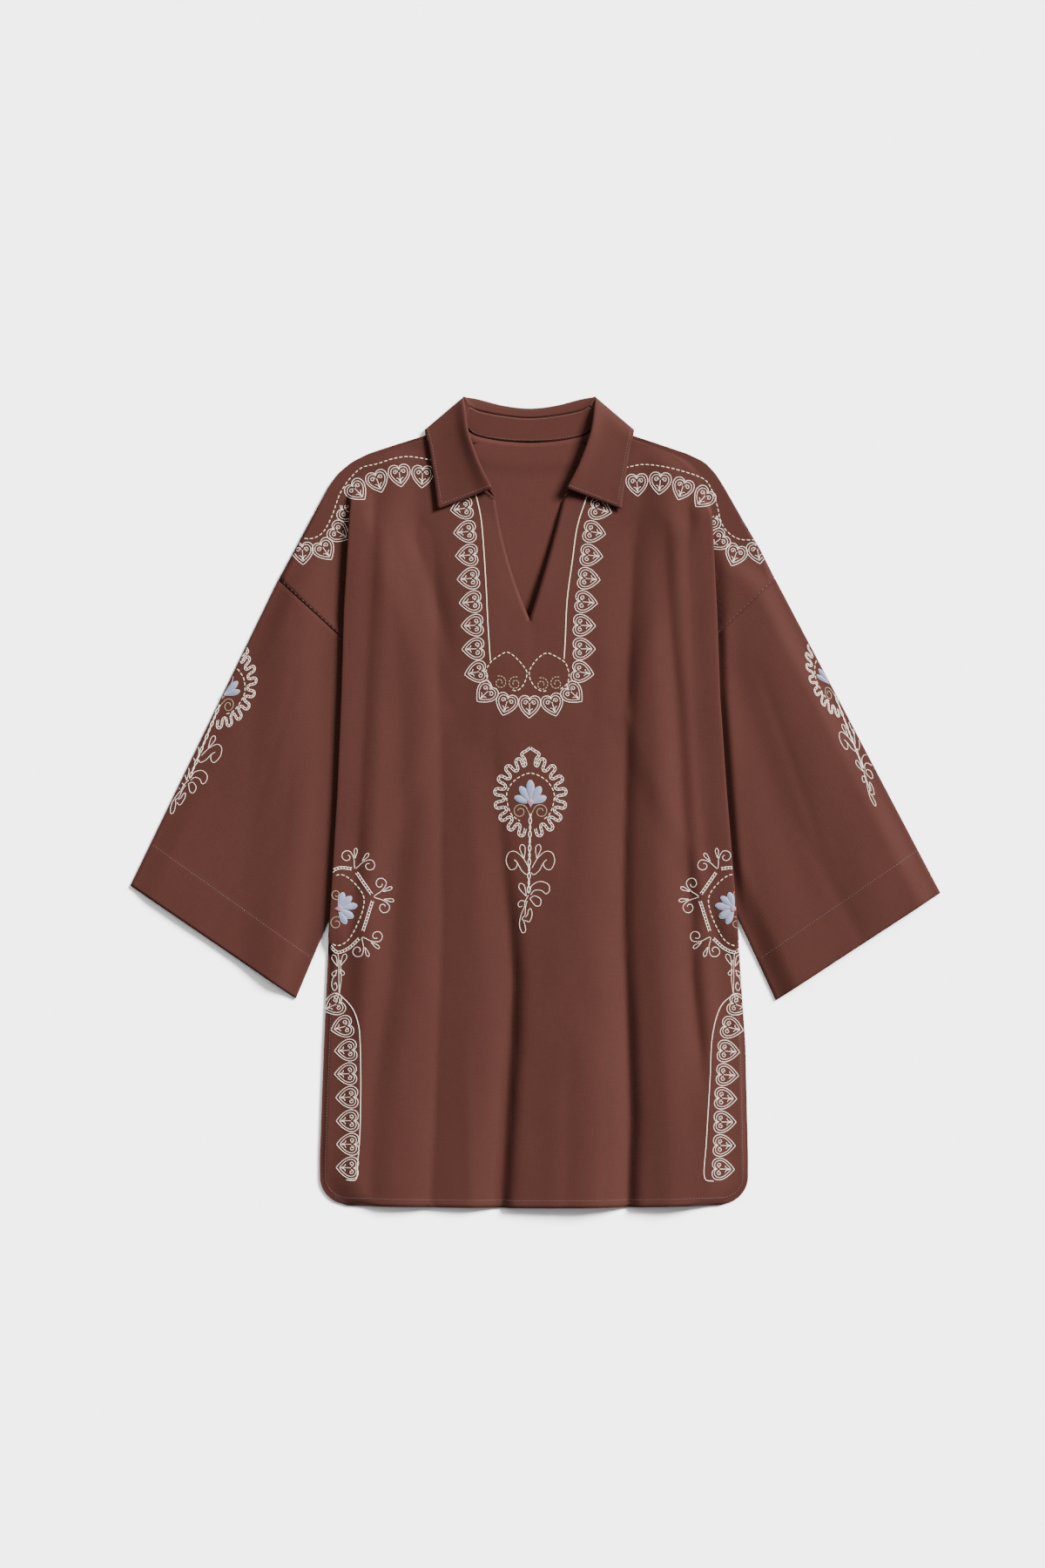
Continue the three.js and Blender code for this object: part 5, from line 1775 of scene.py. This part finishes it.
class Embroiderer:
    """Works the embroidery and the stitching on the pieces of the garment."""

    def __init__(self, place: Place, front: FrontPanel, sleeves: dict[Side, Sleeve],
                 collar: Collar) -> None:
        """Keeps the surfaces to work on."""
        self.place = place
        self.draft = front.draft
        self.front = FrontSurface(front)
        self.body = self.front.only(Layer.BODY)
        self.arm = self.front.only(Layer.ARM)
        self.sleeves = {side: SleeveSurface(sleeve) for side, sleeve in sleeves.items()}
        self.collar = collar

    def hearts(self, work: Needlework, run: HeartRun) -> None:
        """Works a row of hearts."""
        heart = heart_motif()
        line = spline(run.path, 12)
        along = travelled(line)
        slope = np.gradient(line, axis=0)
        for number, at in enumerate(np.linspace(0, along[-1], run.count)):
            x, y = sampled(at, along, line)
            dx, dy = sampled(at, along, slope)
            turn = math.degrees(math.atan2(dy * run.side, dx * run.side))
            surface = self.arm if number >= run.count - run.on_arm else self.body
            work.motif(surface, heart.placed(x, y, turn))

    def neck(self) -> Needlework:
        """Works the rows round the neck and over the shoulders."""
        work = Needlework("neck_embroidery", self.place)
        for run in HEART_RUNS[:3]:
            self.hearts(work, run)
        for cord in CORD_RUNS[:6]:
            work.work(self.front, spline(cord.path, 10), cord.spool)
        for x, y, way in NECK_SCROLLS:
            start = 115 if way > 0 else 65
            work.work(self.front, spiral((x, y), 7.6, 1.6, -1.5 * way, start), GOLD_RUNNING)
        return work

    def medallions(self) -> Needlework:
        """Works the medallions on the front, the hips and the sleeves."""
        work = Needlework("medallion_embroidery", self.place)
        medallion = medallion_motif()
        work.motif(self.front, medallion.placed(0.9, 9.5))
        hip = hip_motif()
        work.motif(self.front, hip.placed(-209.0, -114.9))
        work.motif(self.front, hip.placed(223.7, -114.9, flip=True))
        for spot in SLEEVE_MEDALLIONS:
            cut = SLEEVES[spot.side]
            top, hem = np.array(cut.outer_top), np.array(cut.outer_hem)
            fold = (hem - top) / np.linalg.norm(hem - top)
            middle = lerp(top, hem, spot.down) + spot.beyond * np.array([-fold[1], fold[0]])
            turn = math.degrees(math.atan2(fold[0], -fold[1])) - spot.tilt
            placed = medallion.placed(spot.side.value * middle[0], middle[1], spot.side.value * turn,
                                      narrow=spot.narrow)
            work.motif(self.sleeves[spot.side], placed)
        return work

    def vents(self) -> Needlework:
        """Works the borders beside the side vents."""
        work = Needlework("vent_embroidery", self.place)
        for run in HEART_RUNS[3:]:
            self.hearts(work, run)
        for cord in CORD_RUNS[6:]:
            work.work(self.front, spline(cord.path, 10), cord.spool)
        return work

    def seams(self) -> Needlework:
        """Works the hems, the seams and the collar's edge in thread of the cloth's colour."""
        work = Needlework("stitching", self.place)
        for side in Side:
            down = np.linspace(-205, -407, 90)
            edge = self.draft.across(BODY_EDGE, side, down) - 6
            corner = np.radians(np.linspace(0, 90, 14))
            wide = self.draft.across(BODY_EDGE, side, -407.0) - CORNER_RADIUS
            across = np.linspace(float(wide), 0, 90)
            half = np.vstack([np.stack([edge, down], axis=1),
                              np.stack([wide + 24 * np.cos(corner), -407 - 23 * np.sin(corner)], axis=1),
                              np.stack([across, -433 + 4 * (across / HEM_SWEEP) ** 2], axis=1)])
            work.work(self.front, half * (side.value, 1), SEAM)
            cloth = self.sleeves[side]
            share = np.linspace(0.01, 0.99, 120)
            hem = 1 - SLEEVE_HEM / SLEEVE_LENGTH
            for surface, down_sleeve in ((cloth, hem), (self.arm, -0.006)):
                half_x, y = cloth.sleeve.plan(share, np.full_like(share, down_sleeve))
                work.work(surface, np.stack([side.value * half_x, y], axis=1), SEAM)
        self.collar_seams(work)
        return work

    def collar_seams(self, work: Needlework) -> None:
        """Works the stitching of the collar."""
        fall = GridSurface(self.collar.fall_points())
        stand = GridSurface(self.collar.stand_points())
        rows = np.linspace(0.012, 0.988, 500)
        work.work(fall, np.stack([rows, np.full_like(rows, 0.05)], axis=1), SEAM, spaced=False)
        for row in (0.009, 0.991):
            columns = np.linspace(0.05, 0.7, 60)
            work.work(fall, np.stack([np.full_like(columns, row), columns], axis=1), SEAM, spaced=False)
        for column in (0.06, 0.93):
            work.work(stand, np.stack([rows, np.full_like(rows, column)], axis=1), SEAM, spaced=False)

    def work_all(self, finishes: Finishes) -> list[bpy.types.Object]:
        """Works everything and returns the meshes."""
        made = []
        for area in (self.neck(), self.medallions(), self.vents(), self.seams()):
            made.extend(area.make(finishes))
        return made


# ---------------------------------------------------------------- the cut
class Cut(NamedTuple):
    """The flat size of a cut piece, in metres and square metres, and what it lies on."""

    name: str
    width: float
    length: float
    area: float
    rests_on: tuple[str, ...]


# ---------------------------------------------------------------- studio
class Lamp(NamedTuple):
    """A soft light: where it stands, how wide it looks, in degrees, and its power."""

    name: str
    spot: tuple[float, float, float]
    spread: float
    power: float


LAMPS = (
    Lamp("key_light", (1.85, 1.35, 1.5), 22.0, 23.6),
    Lamp("top_light", (-0.8, 2.2, 2.4), 60.0, 2.0),
)


@dataclass
class Studio:
    """The pale floor, the soft light and the camera straight above."""

    scale: float = 0.95
    frame_width: int = 1200
    frame_height: int = 1800
    centre_line_px: float = 608.0
    waist_px: float = 922.0
    distance: float = 6.0

    def floor(self) -> None:
        """Lays a pale floor under the garment."""
        mesh = bmesh.new()
        bmesh.ops.create_grid(mesh, x_segments=4, y_segments=4, size=6.0)
        bmesh.ops.translate(mesh, verts=mesh.verts, vec=(0, 0, -0.0002))
        data = mesh_data("floor", mesh)
        paper, _, shader = new_material("floor_paper")
        shader.inputs["Base Color"].default_value = (0.935, 0.935, 0.935, 1.0)
        shader.inputs["Roughness"].default_value = 0.9
        data.materials.append(paper)
        made = show("floor", data)

    def light(self, lamp: Lamp) -> None:
        """Hangs one soft distant light that looks at the garment."""
        data = bpy.data.lights.new(lamp.name, "SUN")
        data.angle = math.radians(lamp.spread)
        data.energy = lamp.power
        made = show(lamp.name, data)
        made.location = lamp.spot
        made.rotation_euler = Vector(lamp.spot).to_track_quat("Z", "Y").to_euler()

    def world(self) -> None:
        """Sets an even pale surround."""
        world = bpy.data.worlds.new("studio")
        world.use_nodes = True
        world.node_tree.nodes["Background"].inputs[0].default_value = (1.0, 1.0, 1.0, 1.0)
        world.node_tree.nodes["Background"].inputs[1].default_value = 0.4
        bpy.context.scene.world = world

    def camera(self, place: Place) -> None:
        """Sets the camera straight above, framed on the whole garment."""
        data = bpy.data.cameras.new("camera")
        long_side = self.frame_height * self.scale * MM
        data.sensor_fit = "AUTO"
        data.lens = data.sensor_width * self.distance / long_side
        made = show("camera", data)
        x = ((self.frame_width / 2 - self.centre_line_px) * self.scale + place.x) * MM
        y = ((self.waist_px - self.frame_height / 2) * self.scale + place.y) * MM
        made.location = (x, y, self.distance)
        bpy.context.scene.camera = made

    def make(self, place: Place) -> None:
        """Sets up the whole studio."""
        self.floor()
        self.world()
        for lamp in LAMPS:
            self.light(lamp)
        self.camera(place)


# ---------------------------------------------------------------- the garment
def main() -> None:
    """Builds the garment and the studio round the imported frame."""
    logging.basicConfig(level=logging.INFO, format="%(name)s: %(message)s")
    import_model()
    place = Place.from_frame()
    draft = Draft()
    finishes = Finishes()
    collar = Collar(place)
    edge = collar.neck_edge(NECK_CLEAR)
    front = FrontPanel(place, draft, {side: edge for side in Side})
    sleeves = {side: Sleeve(side, place, draft) for side in Side}
    pieces = [
        front.make(finishes.cloth),
        BackPanel(place, draft, collar.back_neck(NECK_CLEAR)).make(finishes.inside),
        sleeves[Side.RIGHT].make(finishes.cloth),
        sleeves[Side.LEFT].make(finishes.cloth),
        collar.make_fall(finishes.cloth),
        collar.make_stand(finishes.inside),
    ]
    pieces.extend(Embroiderer(place, front, sleeves, collar).work_all(finishes))
    Studio().make(place)
    for piece in pieces:
        LOG.info("made %s", piece.name)


if __name__ == "__main__":
    main()
